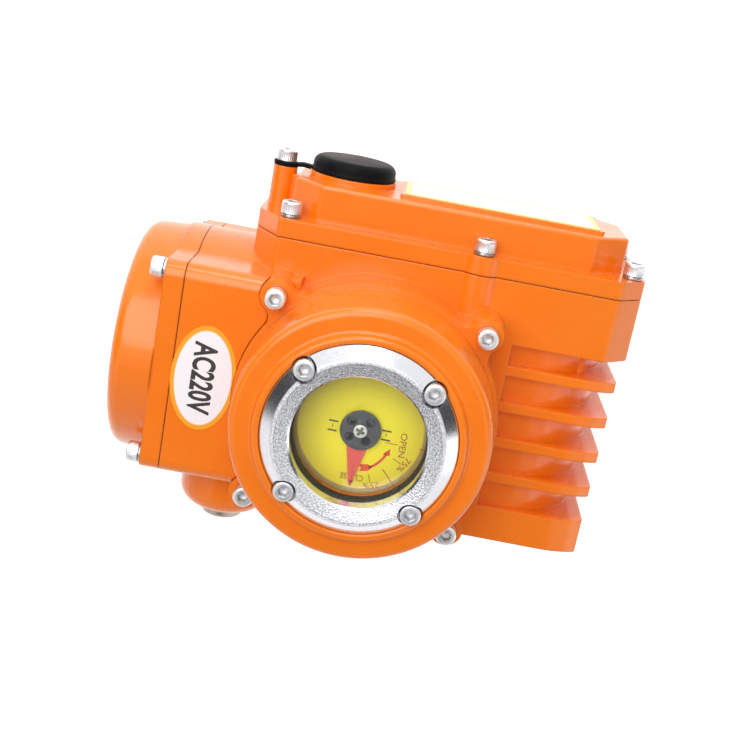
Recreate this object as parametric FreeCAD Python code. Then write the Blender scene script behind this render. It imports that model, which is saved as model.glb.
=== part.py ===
import FreeCAD, Part
import math
import os

# Quarter-turn electric actuator for a valve, in millimetres.
# +Z is the axis of the output shaft and of the round position dial on top.
# The origin is the centre of the valve mounting face. +X points to the finned motor housing,
# -X to the round terminal cover, +Y to the gear cover with its rubber-capped hand drive.

V = FreeCAD.Vector
os.makedirs("parts", exist_ok=True)

# Heights along Z
mid_z = 65.5              # plane of the worm and the motor
dial_seat_rise = 13.4     # top of the housing above the front of the gearbox, where the dial cap sits
ear_thickness = 9.0       # flange of the dial cap
cap_rise = 41.1           # top of the dial cap above its seat
chamber_floor_rise = 22.5
chamber_height = 25.0     # room for the cams above the chamber floor

# Valve mount to ISO 5211 F07
base_radius = 52.0
base_height = 14.0
mount_circle = 70.0
mount_thread = 8.0
mount_depth = 16.0
drive_square = 17.0
drive_depth = 30.0

# Window, bezel, dial cap and drum, from the glass outwards
glass_radius = 37.2
glass_thickness = 4.0
gasket_thickness = 1.0
upper_gasket = 5.0        # thick black ring that shows under the bezel
glass_ledge = 5.2         # width of the ledge under the glass
window_lap = 6.3          # the bezel covers this much of the glass
gasket_lip = 0.6          # the thick gasket shows this much inside the bezel
bezel_margin = 7.6        # the bezel reaches this far outside the glass
bezel_height = 11.0
bezel_bevel = 6.8
bezel_sink = 2.5          # its seat lies this far below the top of the cap
bezel_screw_rise = 4.0
bezel_screw_outset = 3.8
lip_width = 4.1
lip_height = 4.0
cap_shoulder = 10.6       # from the lip to the wall
cap_draft = 1.65          # the wall widens this much to its foot
cap_wall = 3.0
rim_margin = 2.05
ear_outset = 6.5
ear_radius = 8.0
ear_blend = 6.0
drum_margin = 1.5
chamber_radius = 46.0

# Dial, pointer and hub
dial_gap = 3.0            # under the glass ledge
dial_margin = 2.8
dial_thickness = 1.5
pointer_rise = 2.0
pointer_thickness = 0.6
hub_radius = 9.5
hub_thickness = 1.2
hub_screw_radius = 3.2
hub_screw_height = 1.1
post_circle = 36.0
post_radius = 3.0

# Gearbox and gear cover, seen along Y
gearbox_left_reach = 41.0     # from the worm to the left side
gearbox_right_reach = 44.3    # from the motor to the right side
left_chamfer_x, left_chamfer_z = 12.0, 18.0
right_chamfer_x, right_chamfer_z = 12.3, 12.0
gearbox_floor_y = 50.0
gearbox_under_y = 41.5
cover_seat_y = 72.3
cover_flange = 9.2
cover_top_y = 98.8
gearbox_wall = 5.0
cover_wall = 2.5
gear_room = 1.0               # between the largest gear and the cover
cover_box_setback = 9.0
cover_box_left_inset = 14.5
cover_box_right_inset = 10.6
cover_roof = 3.5
collar_radius = 21.7
collar_height = 3.0
neck_radius = 17.0
neck_height = 3.5
cap_height = 8.4
pad_height = 1.6
pad_left_gap, pad_right_reach = 25.0, 21.0
pad_half_width = 22.5
plate_inset = 2.0
bulge_radius = 11.0
bulge_x = 42.0
bulge_inset = 8.0             # its axis lies this far behind the front of the gearbox
bulge_screw_inset = 3.8
left_screw_inset_x, left_screw_inset_z = 16.2, 8.0
right_screw_inset_x, right_screw_inset_z = 6.3, 14.0
tall_boss_inset = 7.0
tall_boss_radius = 6.0
tall_boss_rise = 1.8          # it stands this far above the raised box
strap_thickness = 2.2

# Terminal chamber on the left, with its axis along X
terminal_y, terminal_rise = 2.2, 3.0
terminal_half_depth = 58.5
terminal_round = 2.4      # the round outline stands this far outside the flat front and back
terminal_wall = 4.0
terminal_left = -93.0
lug_low_inset, lug_high_inset = 9.7, 7.1
lug_corner = 7.0
lug_screw_inset_y = 5.5
lug_screw_inset_z = 8.5
end_flange = 10.0
dome_end = -124.3
dome_step = 1.1
dome_draft = 1.7
dome_round = 6.5
terminal_floor_x = -68.0
capacitor_radius = 13.0
capacitor_drop = 33.5

# Cable entry under the terminal chamber
entry_x = -64.0
entry_rise = 20.5
entry_radius = 23.0
entry_end_y = -75.0
entry_round = 10.0
entry_thread = 16.0
plug_radius = 10.7
plug_head = 5.5

# Motor housing with its fins
barrel_radius = 36.0
motor_bore = 28.05
motor_bore_end_y = -47.0
motor_floor = 13.0
fin_reach = 41.2
fin_curve_reach = 21.7
fin_root = 17.0
shoulder_root = 13.0
fin_top_y = 31.0
fin_pitch = 18.45
fin_count = 4
fin_thickness = 5.0

# Gears: module, teeth, widths and the gap between their levels
spur_module = 1.0
motor_teeth = 14
first_teeth, first_pinion = 54, 16
second_teeth, second_pinion = 52, 18
worm_gear_teeth = 54
gear_width = 6.0
gear_gap = 3.0
spur_backlash = 0.3
worm_module = 1.25
wheel_teeth = 32
worm_pitch_radius = 7.0
worm_length = 24.0
worm_backlash = 0.3
wheel_width = 12.0
wheel_room = 4.75

# Shafts, bearings and fits
worm_journal = 4.0
bearing_radius = 11.0
bearing_width = 7.0
upper_bearing_y = 38.0
lower_bearing_y = -42.0
motor_shaft = 4.0
motor_bearing_radius = 8.0
motor_bearing_width = 5.0
plate_thickness = 4.0
gear_plate_half_width = 27.5
bearing_plate_thickness = 6.0
idler_pin = 3.0
sleeve_radius = 19.0
bush_radius = 22.0
bush_low_z, bush_high_z = 7.0, 26.0
stem_bush_radius = 14.0
seal_radius = 7.0
wheel_seat_radius = 15.0
stem_radius = 10.0
spindle_radius = 5.0
cam_radius = 15.0
cam_width = 5.0
cam_pitch = 8.0
running_fit = 0.05
clearance = 0.3

# Screws
m6_head_radius, m6_head_height, m6_shank, m6_key = 5.0, 6.0, 3.0, 5.0
washer_thickness = 1.6
thread_gap = 0.05
clearance_hole = 0.3
counterbore_gap = 0.8
plate_screw_shank, plate_screw_head, plate_screw_height = 2.0, 3.5, 1.6
plate_screw_grip = 6.0
seal_gap = 0.4            # thickness of the flat gaskets in the parting planes
seal_inset = 0.8          # they lie this far inside the outline, which leaves a dark line

# Gear train, along X
wheel_radius = wheel_teeth * worm_module / 2
worm_x = -(wheel_radius + worm_pitch_radius)
second_x = worm_x + (worm_gear_teeth + second_pinion) * spur_module / 2
first_x = second_x + (second_teeth + first_pinion) * spur_module / 2
motor_x = first_x + (first_teeth + motor_teeth) * spur_module / 2
level_worm_y = gearbox_floor_y + plate_thickness + gear_gap
level_second_y = level_worm_y + gear_width + gear_gap
level_motor_y = level_second_y + gear_width + gear_gap

# The gearbox and the motor housing follow the gears
gearbox_depth = 2 * ((first_teeth / 2 + 1) * spur_module + gear_room + cover_wall + cover_box_setback)
front_z = mid_z + gearbox_depth / 2
back_z = mid_z - gearbox_depth / 2
gearbox_left = worm_x - gearbox_left_reach
gearbox_right = motor_x + gearbox_right_reach
cover_box_left = gearbox_left + cover_box_left_inset
cover_box_right = gearbox_right - cover_box_right_inset
tall_boss_x = gearbox_left + tall_boss_inset
pad_left, pad_right = worm_x + pad_left_gap, motor_x + pad_right_reach
fin_right = motor_x + fin_reach
fin_curve_x = motor_x + fin_curve_reach
fin_left = motor_x - fin_root
shoulder_x = motor_x - shoulder_root
motor_bottom_y = motor_bore_end_y - motor_floor

# Heights of the dial, its cap and the rooms below
dial_seat_z = front_z + dial_seat_rise
cap_top_z = dial_seat_z + cap_rise
bezel_seat_z = cap_top_z - bezel_sink
bezel_screw_seat_z = bezel_seat_z + bezel_screw_rise
glass_top_z = bezel_seat_z + gasket_thickness - upper_gasket
glass_ledge_z = glass_top_z - glass_thickness - gasket_thickness
dial_z = glass_ledge_z - dial_gap - dial_thickness
pointer_z = dial_z + pointer_rise
chamber_floor_z = mid_z + chamber_floor_rise
deck_z = chamber_floor_z + bearing_plate_thickness
terminal_z = mid_z + terminal_rise
entry_z = mid_z + entry_rise

# The bezel, the cap and the drum follow the glass
window_radius = glass_radius - window_lap
glass_ledge_radius = glass_radius - glass_ledge
bezel_radius = glass_radius + bezel_margin
bezel_ridge_radius = bezel_radius - bezel_bevel
bezel_recess_radius = bezel_radius + clearance
bezel_screw_spacing = (glass_radius + bezel_screw_outset) / math.sqrt(2)
lip_radius = bezel_recess_radius + lip_width
cap_wall_top = lip_radius + cap_shoulder
cap_wall_foot = cap_wall_top + cap_draft
rim_radius = cap_wall_foot + rim_margin
drum_radius = rim_radius - drum_margin
ear_spacing = (rim_radius + ear_outset) / math.sqrt(2)
dial_radius = glass_radius + dial_margin
terminal_radius = terminal_half_depth + terminal_round
terminal_bore = terminal_half_depth - terminal_wall
lug_low_y = terminal_y - terminal_radius + lug_low_inset
lug_high_y = terminal_y + terminal_radius - lug_high_inset
dome_foot_radius = terminal_radius - dome_step
dome_tip_radius = dome_foot_radius - dome_draft


def in_plan(y):
    return lambda p: V(p.x, y, p.y)


def in_section(x):
    return lambda p: V(x, p.x, p.y)


def in_profile(p):
    return V(p.x, 0, p.y)


def rounded_wire(points, place):
    """Closed wire through (u, v, radius) corners, where a radius makes the corner a tangent arc."""
    corners = []
    for i, (u, v, radius) in enumerate(points):
        here = V(u, v, 0)
        if radius == 0:
            corners.append((here, None, here))
            continue
        before = V(points[i - 1][0], points[i - 1][1], 0)
        after = V(points[(i + 1) % len(points)][0], points[(i + 1) % len(points)][1], 0)
        back = (before - here).normalize()
        ahead = (after - here).normalize()
        half = back.getAngle(ahead) / 2
        reach = radius / math.tan(half)
        centre = here + (back + ahead).normalize() * (radius / math.sin(half))
        middle = centre + (here - centre).normalize() * radius
        corners.append((here + back * reach, middle, here + ahead * reach))
    edges = []
    for i, (start, middle, end) in enumerate(corners):
        if middle is not None:
            edges.append(Part.Arc(place(start), place(middle), place(end)).toShape())
        following = corners[(i + 1) % len(corners)][0]
        if (following - end).Length > 1e-6:
            edges.append(Part.LineSegment(place(end), place(following)).toShape())
    return Part.Wire(edges)


def plan_prism(points, y0, y1):
    face = Part.Face(rounded_wire(points, in_plan(y0)))
    return face.extrude(V(0, y1 - y0, 0))


def turned(points):
    """Solid of revolution about Z from (radius, z, corner radius) points."""
    face = Part.Face(rounded_wire(points, in_profile))
    return face.revolve(V(0, 0, 0), V(0, 0, 1), 360)


def rod(radius, start, end):
    start, end = V(*start), V(*end)
    return Part.makeCylinder(radius, (end - start).Length, start, end - start)


def tube(outer, inner, start, end):
    return rod(outer, start, end).cut(rod(inner, start, end))


def block(x0, x1, y0, y1, z0, z1):
    return Part.makeBox(x1 - x0, y1 - y0, z1 - z0, V(x0, y0, z0))


def fuse(first, others):
    return first.multiFuse(list(others)).removeSplitter() if others else first


def cut(shape, tools):
    return shape.cut(Part.makeCompound(list(tools)))


def round_edges(shape, radius, wanted):
    edges = [edge for edge in shape.Edges if wanted(edge)]
    return shape.makeFillet(radius, edges)


def corners(spacing):
    return [(sx * spacing, sy * spacing) for sx in (1, -1) for sy in (1, -1)]


def write(name, shape):
    shape.exportStep(f"parts/{name}.step")


def socket_screw(seat, out, length):
    """M6 socket cap screw whose head rests on the seat point and faces along out."""
    seat, out = V(*seat), V(*out)
    head = Part.makeCylinder(m6_head_radius, m6_head_height, seat, out)
    shank = Part.makeCylinder(m6_shank, length, seat, -out)
    key = Part.makePolygon([V(math.cos(a), math.sin(a), 0) * (m6_key / math.sqrt(3))
                            for a in [math.radians(60 * k) for k in range(7)]])
    socket = Part.Face(key).extrude(V(0, 0, m6_head_height / 2))
    socket.Placement = FreeCAD.Placement(seat + out * (m6_head_height / 2), FreeCAD.Rotation(V(0, 0, 1), out))
    return head.fuse(shank).cut(socket)


def spring_washer(seat, out):
    seat, out = V(*seat), V(*out)
    inner = m6_shank + clearance_hole
    ring = Part.makeCylinder(m6_head_radius, washer_thickness, seat, out)
    ring = ring.cut(Part.makeCylinder(inner, washer_thickness, seat, out))
    slit = Part.makeBox(m6_head_radius, 0.8, washer_thickness)
    slit.Placement = FreeCAD.Placement(seat, FreeCAD.Rotation(V(0, 0, 1), out))
    return ring.cut(slit)


def screw_set(name, seats, out, length, washers=True):
    """Identical screws on one node, and their spring washers on another."""
    lift = V(*out) * (washer_thickness if washers else 0)
    write(name + "_screws", Part.makeCompound([socket_screw(V(*s) + lift, out, length) for s in seats]))
    if washers:
        write(name + "_spring_washers", Part.makeCompound([spring_washer(s, out) for s in seats]))


# Outlines shared by pieces that meet

def eared_face(z, ring, ear):
    """Round flange with four screw ears on a square, each ear blended to the ring by an arc."""
    reach = ear_spacing * math.sqrt(2)
    alpha = math.acos((reach ** 2 + (ring + ear_blend) ** 2 - (ear + ear_blend) ** 2)
                      / (2 * reach * (ring + ear_blend)))
    edges = []
    for k in range(4):
        turn = math.pi / 4 + k * math.pi / 2

        def polar(radius, angle):
            return V(radius * math.cos(turn + angle), radius * math.sin(turn + angle), z)
        ear_centre = polar(reach, 0)
        joints = []
        for side in (-1, 1):
            centre = polar(ring + ear_blend, side * alpha)
            on_ring = polar(ring, side * alpha)
            on_ear = ear_centre + (centre - ear_centre).normalize() * ear
            inward = ((on_ring + on_ear) * 0.5 - centre).normalize() * ear_blend
            joints.append((on_ring, centre + inward, on_ear))
        edges.append(Part.Arc(*joints[0]).toShape())
        edges.append(Part.Arc(joints[0][2], polar(reach + ear, 0), joints[1][2]).toShape())
        edges.append(Part.Arc(joints[1][2], joints[1][1], joints[1][0]).toShape())
        edges.append(Part.Arc(joints[1][0], polar(ring, math.pi / 4),
                              polar(ring, math.pi / 2 - alpha)).toShape())
    return Part.Face(Part.Wire(edges))


def terminal_face(x, inset=0.0):
    """Round chamber outline, flat in front and at the back, with four squared screw lugs."""
    radius = terminal_radius - inset
    low, high = lug_low_y + inset, lug_high_y - inset
    half = terminal_half_depth - inset
    r = lug_corner
    bulge = r * (1 - math.sqrt(0.5))

    def at(y, dz):
        return V(x, y, terminal_z + dz)

    def meet(y):
        return math.sqrt(radius ** 2 - (y - terminal_y) ** 2)
    edges = []
    for s in (1, -1):
        edges.append(Part.LineSegment(at(low + r, s * half), at(high - r, s * half)).toShape())
    for y, d in ((high, -1), (low, 1)):
        for s in (1, -1):
            edges.append(Part.Arc(at(y + d * r, s * half), at(y + d * bulge, s * (half - bulge)),
                                  at(y, s * (half - r))).toShape())
            edges.append(Part.LineSegment(at(y, s * (half - r)), at(y, s * meet(y))).toShape())
        edges.append(Part.Arc(at(y, meet(y)), at(terminal_y - d * radius, 0), at(y, -meet(y))).toShape())
    return Part.Face(Part.Wire(Part.__sortEdges__(edges)))


def end_cover_screws():
    """Places (y, z) of the four screws of the end cover."""
    deep = terminal_half_depth - lug_screw_inset_z
    return [(y, terminal_z + s * deep) for y in (lug_low_y + lug_screw_inset_y, lug_high_y - lug_screw_inset_y)
            for s in (1, -1)]


def gearbox_points(inset=0.0):
    """Plan of the gearbox and the cover flange: a long box with its four corners cut off."""
    left, right = gearbox_left + inset, gearbox_right - inset
    front, back = front_z - inset, back_z + inset
    r = max(3.0 - inset, 1.0)
    near, far = gearbox_left + left_chamfer_x + inset / 2, gearbox_right - right_chamfer_x - inset / 2
    high, low = front_z - left_chamfer_z - inset / 2, back_z + left_chamfer_z + inset / 2
    return [(near, front, r), (left, high, r), (left, low, r), (near, back, r), (far, back, r),
            (right, back + right_chamfer_z, r), (right, front - right_chamfer_z, r), (far, front, r)]


def cover_box_points(inset=0.0):
    """Plan of the raised box of the gear cover, whose corners clear the screws."""
    left, right = cover_box_left + inset, cover_box_right - inset
    half = gearbox_depth / 2 - cover_box_setback - inset
    r = 2.0
    return [(left + 14, mid_z + half, r), (left, mid_z + half - 13, r), (left, mid_z - half + 13, r),
            (left + 14, mid_z - half, r), (right - 17, mid_z - half, r), (right, mid_z - half + 13, r),
            (right, mid_z + half - 13, r), (right - 17, mid_z + half, r)]


def cover_screws():
    """Plan places of the gear cover screws: (x, z), the tall one at the left last."""
    places = [(gearbox_left + left_screw_inset_x, left_screw_inset_z), (bulge_x, bulge_screw_inset),
              (gearbox_right - right_screw_inset_x, right_screw_inset_z)]
    pairs = [(x, mid_z + s * (gearbox_depth / 2 - inset)) for x, inset in places for s in (1, -1)]
    return pairs + [(tall_boss_x, mid_z)]


def bulges(y0, y1):
    """Half-round columns that carry the middle cover screws, front and back."""
    deep = gearbox_depth / 2 - bulge_inset
    return [rod(bulge_radius, (bulge_x, y0, mid_z + s * deep), (bulge_x, y1, mid_z + s * deep))
            for s in (1, -1)]


def fin_solid(y0, y1):
    """One fin, flat in front and curved back to a rounded right side."""
    half = gearbox_depth / 2
    drop = math.sqrt(half ** 2 - (fin_right - fin_curve_x) ** 2)
    bend = math.asin((fin_right - fin_curve_x) / half)
    arc_x = fin_curve_x + half * math.sin(bend / 2)
    arc_z = half * math.cos(bend / 2)
    place = in_plan(y0)

    def at(x, dz):
        return place(V(x, mid_z + dz, 0))
    edges = [Part.LineSegment(at(fin_left, -half), at(fin_left, half)).toShape(),
             Part.LineSegment(at(fin_left, half), at(fin_curve_x, half)).toShape(),
             Part.Arc(at(fin_curve_x, half), at(arc_x, arc_z), at(fin_right, drop)).toShape(),
             Part.LineSegment(at(fin_right, drop), at(fin_right, -drop)).toShape(),
             Part.Arc(at(fin_right, -drop), at(arc_x, -arc_z), at(fin_curve_x, -half)).toShape(),
             Part.LineSegment(at(fin_curve_x, -half), at(fin_left, -half)).toShape()]
    solid = Part.Face(Part.Wire(edges)).extrude(V(0, y1 - y0, 0))
    return round_edges(solid, 3.0, lambda e: e.BoundBox.XMin > fin_right - 0.01 and e.BoundBox.ZLength < 0.01)


def cap_room():
    """Space above the parting plane that the dial cap needs."""
    gap = clearance
    room = eared_face(dial_seat_z, rim_radius + gap, ear_radius + gap).extrude(V(0, 0, 20))
    nooks = [block(-ear_spacing, 0, min(s * 44, s * 60), max(s * 44, s * 60), dial_seat_z, dial_seat_z + 12)
             for s in (1, -1)]
    return room.multiFuse(nooks)


def housing():
    """Main casting: drum, gearbox, terminal chamber, finned motor housing and valve mount."""
    drum = rod(drum_radius, (0, 0, base_height - 2), (0, 0, front_z))
    rim = eared_face(front_z - 10, rim_radius, ear_radius).extrude(V(0, 0, dial_seat_z - front_z + 10))
    base = rod(base_radius, (0, 0, 0), (0, 0, base_height))
    gearbox = plan_prism(gearbox_points(), gearbox_under_y, cover_seat_y)
    shoulder = block(0, shoulder_x, motor_bottom_y, cover_seat_y - 5, back_z, front_z)
    terminal = terminal_face(terminal_left).extrude(V(-40 - terminal_left, 0, 0))
    entry = rod(entry_radius, (entry_x, -35, entry_z), (entry_x, entry_end_y, entry_z))
    entry = round_edges(entry, entry_round, lambda e: e.BoundBox.YMax < entry_end_y + 0.01)
    barrel = rod(barrel_radius, (motor_x, motor_bottom_y + 2, mid_z), (motor_x, gearbox_floor_y, mid_z))
    wall = block(fin_left - 5, motor_x, motor_bottom_y, gearbox_floor_y,
                 mid_z - barrel_radius, mid_z + barrel_radius)
    fins = [fin_solid(fin_top_y - k * fin_pitch - fin_thickness, fin_top_y - k * fin_pitch)
            for k in range(fin_count)]
    foot = fin_solid(motor_bottom_y, fin_top_y - fin_count * fin_pitch)
    rib_x, rib_z = motor_x + 23.5, barrel_radius - 10.5
    ribs = [rod(3.0, (rib_x, 25, mid_z + s * rib_z), (rib_x, 45, mid_z + s * rib_z)) for s in (1, -1)]
    columns = bulges(30.0, cover_seat_y)
    forms = [rim, base, gearbox, shoulder, terminal, entry, barrel, wall, foot]
    body = fuse(drum, forms + fins + ribs + columns)

    chamber = rod(chamber_radius, (0, 0, chamber_floor_z), (0, 0, dial_seat_z))
    room_radius = wheel_radius + worm_module + wheel_room
    wheel_space = rod(room_radius, (0, 0, mid_z - 15.5), (0, 0, chamber_floor_z))
    shaft_bore = rod(sleeve_radius + 1, (0, 0, bush_high_z - 6), (0, 0, mid_z - 5.5))
    bush_bore = rod(bush_radius + running_fit, (0, 0, 0), (0, 0, bush_high_z))
    worm_bore = rod(bearing_radius + running_fit, (worm_x, lower_bearing_y, mid_z),
                    (worm_x, gearbox_floor_y + 5, mid_z))
    gear_space = plan_prism(gearbox_points(gearbox_wall), gearbox_floor_y, cover_seat_y)
    motor_room = rod(motor_bore, (motor_x, motor_bore_end_y, mid_z), (motor_x, gearbox_floor_y, mid_z))
    seat_end = motor_bore_end_y - motor_bearing_width
    motor_seat = rod(motor_bearing_radius + running_fit, (motor_x, seat_end, mid_z),
                     (motor_x, motor_bore_end_y, mid_z))
    terminal_room = rod(terminal_bore, (terminal_left, terminal_y, terminal_z),
                        (terminal_floor_x, terminal_y, terminal_z))
    wire_z = chamber_floor_z + 10
    wire_way = rod(5.0, (terminal_floor_x, 0, wire_z), (-chamber_radius + 2, 0, wire_z))
    entry_bore = rod(entry_thread / 2 + thread_gap, (entry_x, entry_end_y, entry_z), (entry_x, -50, entry_z))
    entry_room = block(entry_x - 12, entry_x + 8, -58, -36, entry_z - 9, entry_z + 9)
    holes = [rod(m6_shank + thread_gap, (x, y, dial_seat_z - 12), (x, y, dial_seat_z))
             for x, y in corners(ear_spacing)]
    holes += [rod(mount_thread / 2, (x, y, 0), (x, y, mount_depth))
              for x, y in corners(mount_circle / 2 / math.sqrt(2))]
    holes += [rod(m6_shank + thread_gap, (terminal_left, y, z), (terminal_left + 12, y, z))
              for y, z in end_cover_screws()]
    rooms = [cap_room(), chamber, wheel_space, shaft_bore, bush_bore, worm_bore, gear_space, motor_room,
             motor_seat, terminal_room, wire_way, entry_bore, entry_room]
    body = cut(body, rooms + holes)
    posts = [rod(5.0 if x == tall_boss_x else 6.5, (x, gearbox_floor_y, z), (x, cover_seat_y, z))
             for x, z in cover_screws()]
    inside = plan_prism(gearbox_points(1.0), gearbox_floor_y, cover_seat_y)
    body = fuse(body, [post.common(inside) for post in posts])
    body = cut(body, [rod(m6_shank + thread_gap, (x, cover_seat_y - 14, z), (x, cover_seat_y, z))
                      for x, z in cover_screws()])
    body = cut(body, [rod(plate_screw_shank + thread_gap, (x, gearbox_floor_y - plate_screw_grip - 1, z),
                          (x, gearbox_floor_y, z)) for x, z in plate_screws()])
    return body


def plate_screws():
    deep = gear_plate_half_width - 5
    return [(x, mid_z + s * deep) for x in (worm_x - 11, motor_x + 16) for s in (1, -1)]


def pad_points(inset=0.0):
    """Plan of the raised pad, and of the data plate on it."""
    left, right, half = pad_left + inset, pad_right - inset, pad_half_width - inset
    return [(left, mid_z + half, 2), (left, mid_z - half, 2),
            (right, mid_z - half, 2), (right, mid_z + half, 2)]


def gear_cover():
    """Cover casting of the gearbox with its raised box, tall screw boss, collar and label pad."""
    seat = cover_seat_y + seal_gap
    flange_top = cover_seat_y + cover_flange
    flange = fuse(plan_prism(gearbox_points(), seat, flange_top), bulges(seat, flange_top))
    box = plan_prism(cover_box_points(), seat, cover_top_y)
    box = round_edges(box, 1.5, lambda e: e.BoundBox.YMin > cover_top_y - 0.01)
    boss_top = cover_top_y + tall_boss_rise
    boss = rod(tall_boss_radius, (tall_boss_x, seat, mid_z), (tall_boss_x, boss_top, mid_z))
    web = block(tall_boss_x, cover_box_left + 2, flange_top - 1, cover_top_y - 1.5, mid_z - 4, mid_z + 4)
    collar = rod(collar_radius, (worm_x, cover_top_y - 2, mid_z), (worm_x, cover_top_y + collar_height, mid_z))
    neck_top = cover_top_y + collar_height + neck_height
    neck = rod(neck_radius, (worm_x, cover_top_y, mid_z), (worm_x, neck_top, mid_z))
    pad = plan_prism(pad_points(), cover_top_y - 1, cover_top_y + pad_height)
    cover = fuse(flange, [box, boss, web, collar, neck, pad])
    room = plan_prism(cover_box_points(cover_wall), seat - 1, cover_top_y - cover_roof)
    bore = rod(seal_radius + running_fit, (worm_x, cover_top_y - 5, mid_z), (worm_x, cover_top_y + 20, mid_z))
    holes = [rod(m6_shank + clearance_hole, (x, seat - 1, z), (x, boss_top + 1, z)) for x, z in cover_screws()]
    return cut(cover, [room, bore] + holes)


def end_cover():
    """Round domed cover of the terminal chamber, hollow, with a lugged flange."""
    seat = terminal_left - seal_gap
    face = terminal_left - end_flange
    flange = terminal_face(seat).extrude(V(face - seat, 0, 0))
    dome = turned([(0, 0, 0), (dome_foot_radius, 0, 0), (dome_tip_radius, face - dome_end, dome_round),
                   (0, face - dome_end, 0)])
    dome.Placement = FreeCAD.Placement(V(face, terminal_y, terminal_z),
                                       FreeCAD.Rotation(V(0, 0, 1), V(-1, 0, 0)))
    room = rod(terminal_bore, (seat, terminal_y, terminal_z), (dome_end + 4, terminal_y, terminal_z))
    holes = [rod(m6_shank + clearance_hole, (seat, y, z), (face - 1, y, z)) for y, z in end_cover_screws()]
    return cut(fuse(flange, [dome]), [room] + holes)


def dial_cap():
    """Domed cap over the position dial, with a lipped recess for the window bezel."""
    seat = dial_seat_z + seal_gap
    foot = dial_seat_z + ear_thickness
    ledge = glass_ledge_z
    flange = eared_face(seat, rim_radius, ear_radius).extrude(V(0, 0, foot - seat))
    shell = turned([
        (0, foot - 1, 0), (cap_wall_foot, foot - 1, 0), (cap_wall_foot, foot, 0),
        (cap_wall_top, cap_top_z, 3.5), (lip_radius, cap_top_z, 1.5),
        (lip_radius - 1.0, cap_top_z + lip_height, 1.5), (bezel_recess_radius, cap_top_z + lip_height, 0.8),
        (bezel_recess_radius, bezel_seat_z, 0), (0, bezel_seat_z, 0)])
    roof = cap_top_z - cap_wall - 0.5
    recess = bezel_recess_radius + cap_wall
    room = turned([(0, seat - 1, 0), (cap_wall_foot - cap_wall, seat - 1, 0),
                   (cap_wall_top - cap_wall, roof, 3.0), (recess, roof, 0), (recess - 1, ledge - 3, 0),
                   (0, ledge - 3, 0)])
    window = [rod(glass_ledge_radius, (0, 0, ledge - 4), (0, 0, bezel_seat_z + 1)),
              rod(glass_radius + clearance, (0, 0, ledge), (0, 0, bezel_seat_z + 1))]
    holes = [rod(m6_shank + clearance_hole, (x, y, seat - 1), (x, y, foot + 1))
             for x, y in corners(ear_spacing)]
    holes += [rod(m6_shank + thread_gap, (x, y, ledge - 2), (x, y, bezel_seat_z + 1))
              for x, y in corners(bezel_screw_spacing)]
    holes += [rod(m6_head_radius + counterbore_gap, (x, y, bezel_screw_seat_z), (x, y, bezel_screw_seat_z + 9))
              for x, y in corners(bezel_screw_spacing)]
    return cut(fuse(flange, [shell]), [room] + window + holes)


def bezel():
    """Plated window ring: bevelled outside, dished towards the glass, with counterbored screws."""
    top = bezel_seat_z + bezel_height
    groove_z = bezel_seat_z + gasket_thickness
    ring = turned([(window_radius, groove_z, 0), (glass_radius, groove_z, 0),
                   (glass_radius + clearance, bezel_seat_z, 0),
                   (bezel_radius, bezel_seat_z, 0), (bezel_radius, top - 5.2, 0),
                   (bezel_ridge_radius + 0.6, top, 0), (bezel_ridge_radius - 0.6, top, 0),
                   (window_radius + 1.0, top - 1.4, 0), (window_radius, top - 2.4, 0)])
    tools = []
    for x, y in corners(bezel_screw_spacing):
        tools.append(rod(m6_head_radius + counterbore_gap, (x, y, bezel_screw_seat_z), (x, y, top + 1)))
        tools.append(rod(m6_shank + clearance_hole, (x, y, bezel_seat_z - 1), (x, y, top)))
    return cut(ring, tools)


def spur(teeth, x, y0, width, bore, phase, root_gap=0.25):
    """Spur gear on a Y axis with straight flanks drawn inside the involute."""
    pitch = teeth * spur_module / 2
    pressure = math.radians(20)
    base = pitch * math.cos(pressure)

    def involute(radius):
        angle = math.acos(min(1.0, base / radius))
        return math.tan(angle) - angle
    middle = math.pi / (2 * teeth) - spur_backlash / (4 * pitch)
    tip = pitch + spur_module
    root = pitch - spur_module - root_gap

    def half_angle(radius):
        return middle + involute(pitch) - involute(max(radius, base))
    levels = [root, tip] if teeth > 30 else [root, max(base, root + 0.1), pitch, tip]
    points = []
    for k in range(teeth):
        centre = phase + 2 * math.pi * k / teeth
        flank = [(radius, centre - half_angle(radius)) for radius in levels]
        flank += [(radius, centre + half_angle(radius)) for radius in reversed(levels)]
        points += [V(x + radius * math.cos(a), y0, mid_z + radius * math.sin(a)) for radius, a in flank]
    gear = Part.Face(Part.makePolygon(points + points[:1])).extrude(V(0, width, 0))
    return gear.cut(rod(bore, (x, y0 - 1, mid_z), (x, y0 + width + 1, mid_z))) if bore else gear


def idler(x, pinion, pinion_y, pinion_width, wheel, wheel_y, wheel_mesh, pinion_mesh):
    """Gear and pinion made as one cluster, which turns on a fixed pin."""
    bore = idler_pin + running_fit
    big = spur(wheel, x, wheel_y, gear_width, bore, wheel_mesh)
    small = spur(pinion, x, pinion_y, pinion_width, bore, pinion_mesh)
    return big.fuse(small)


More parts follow.
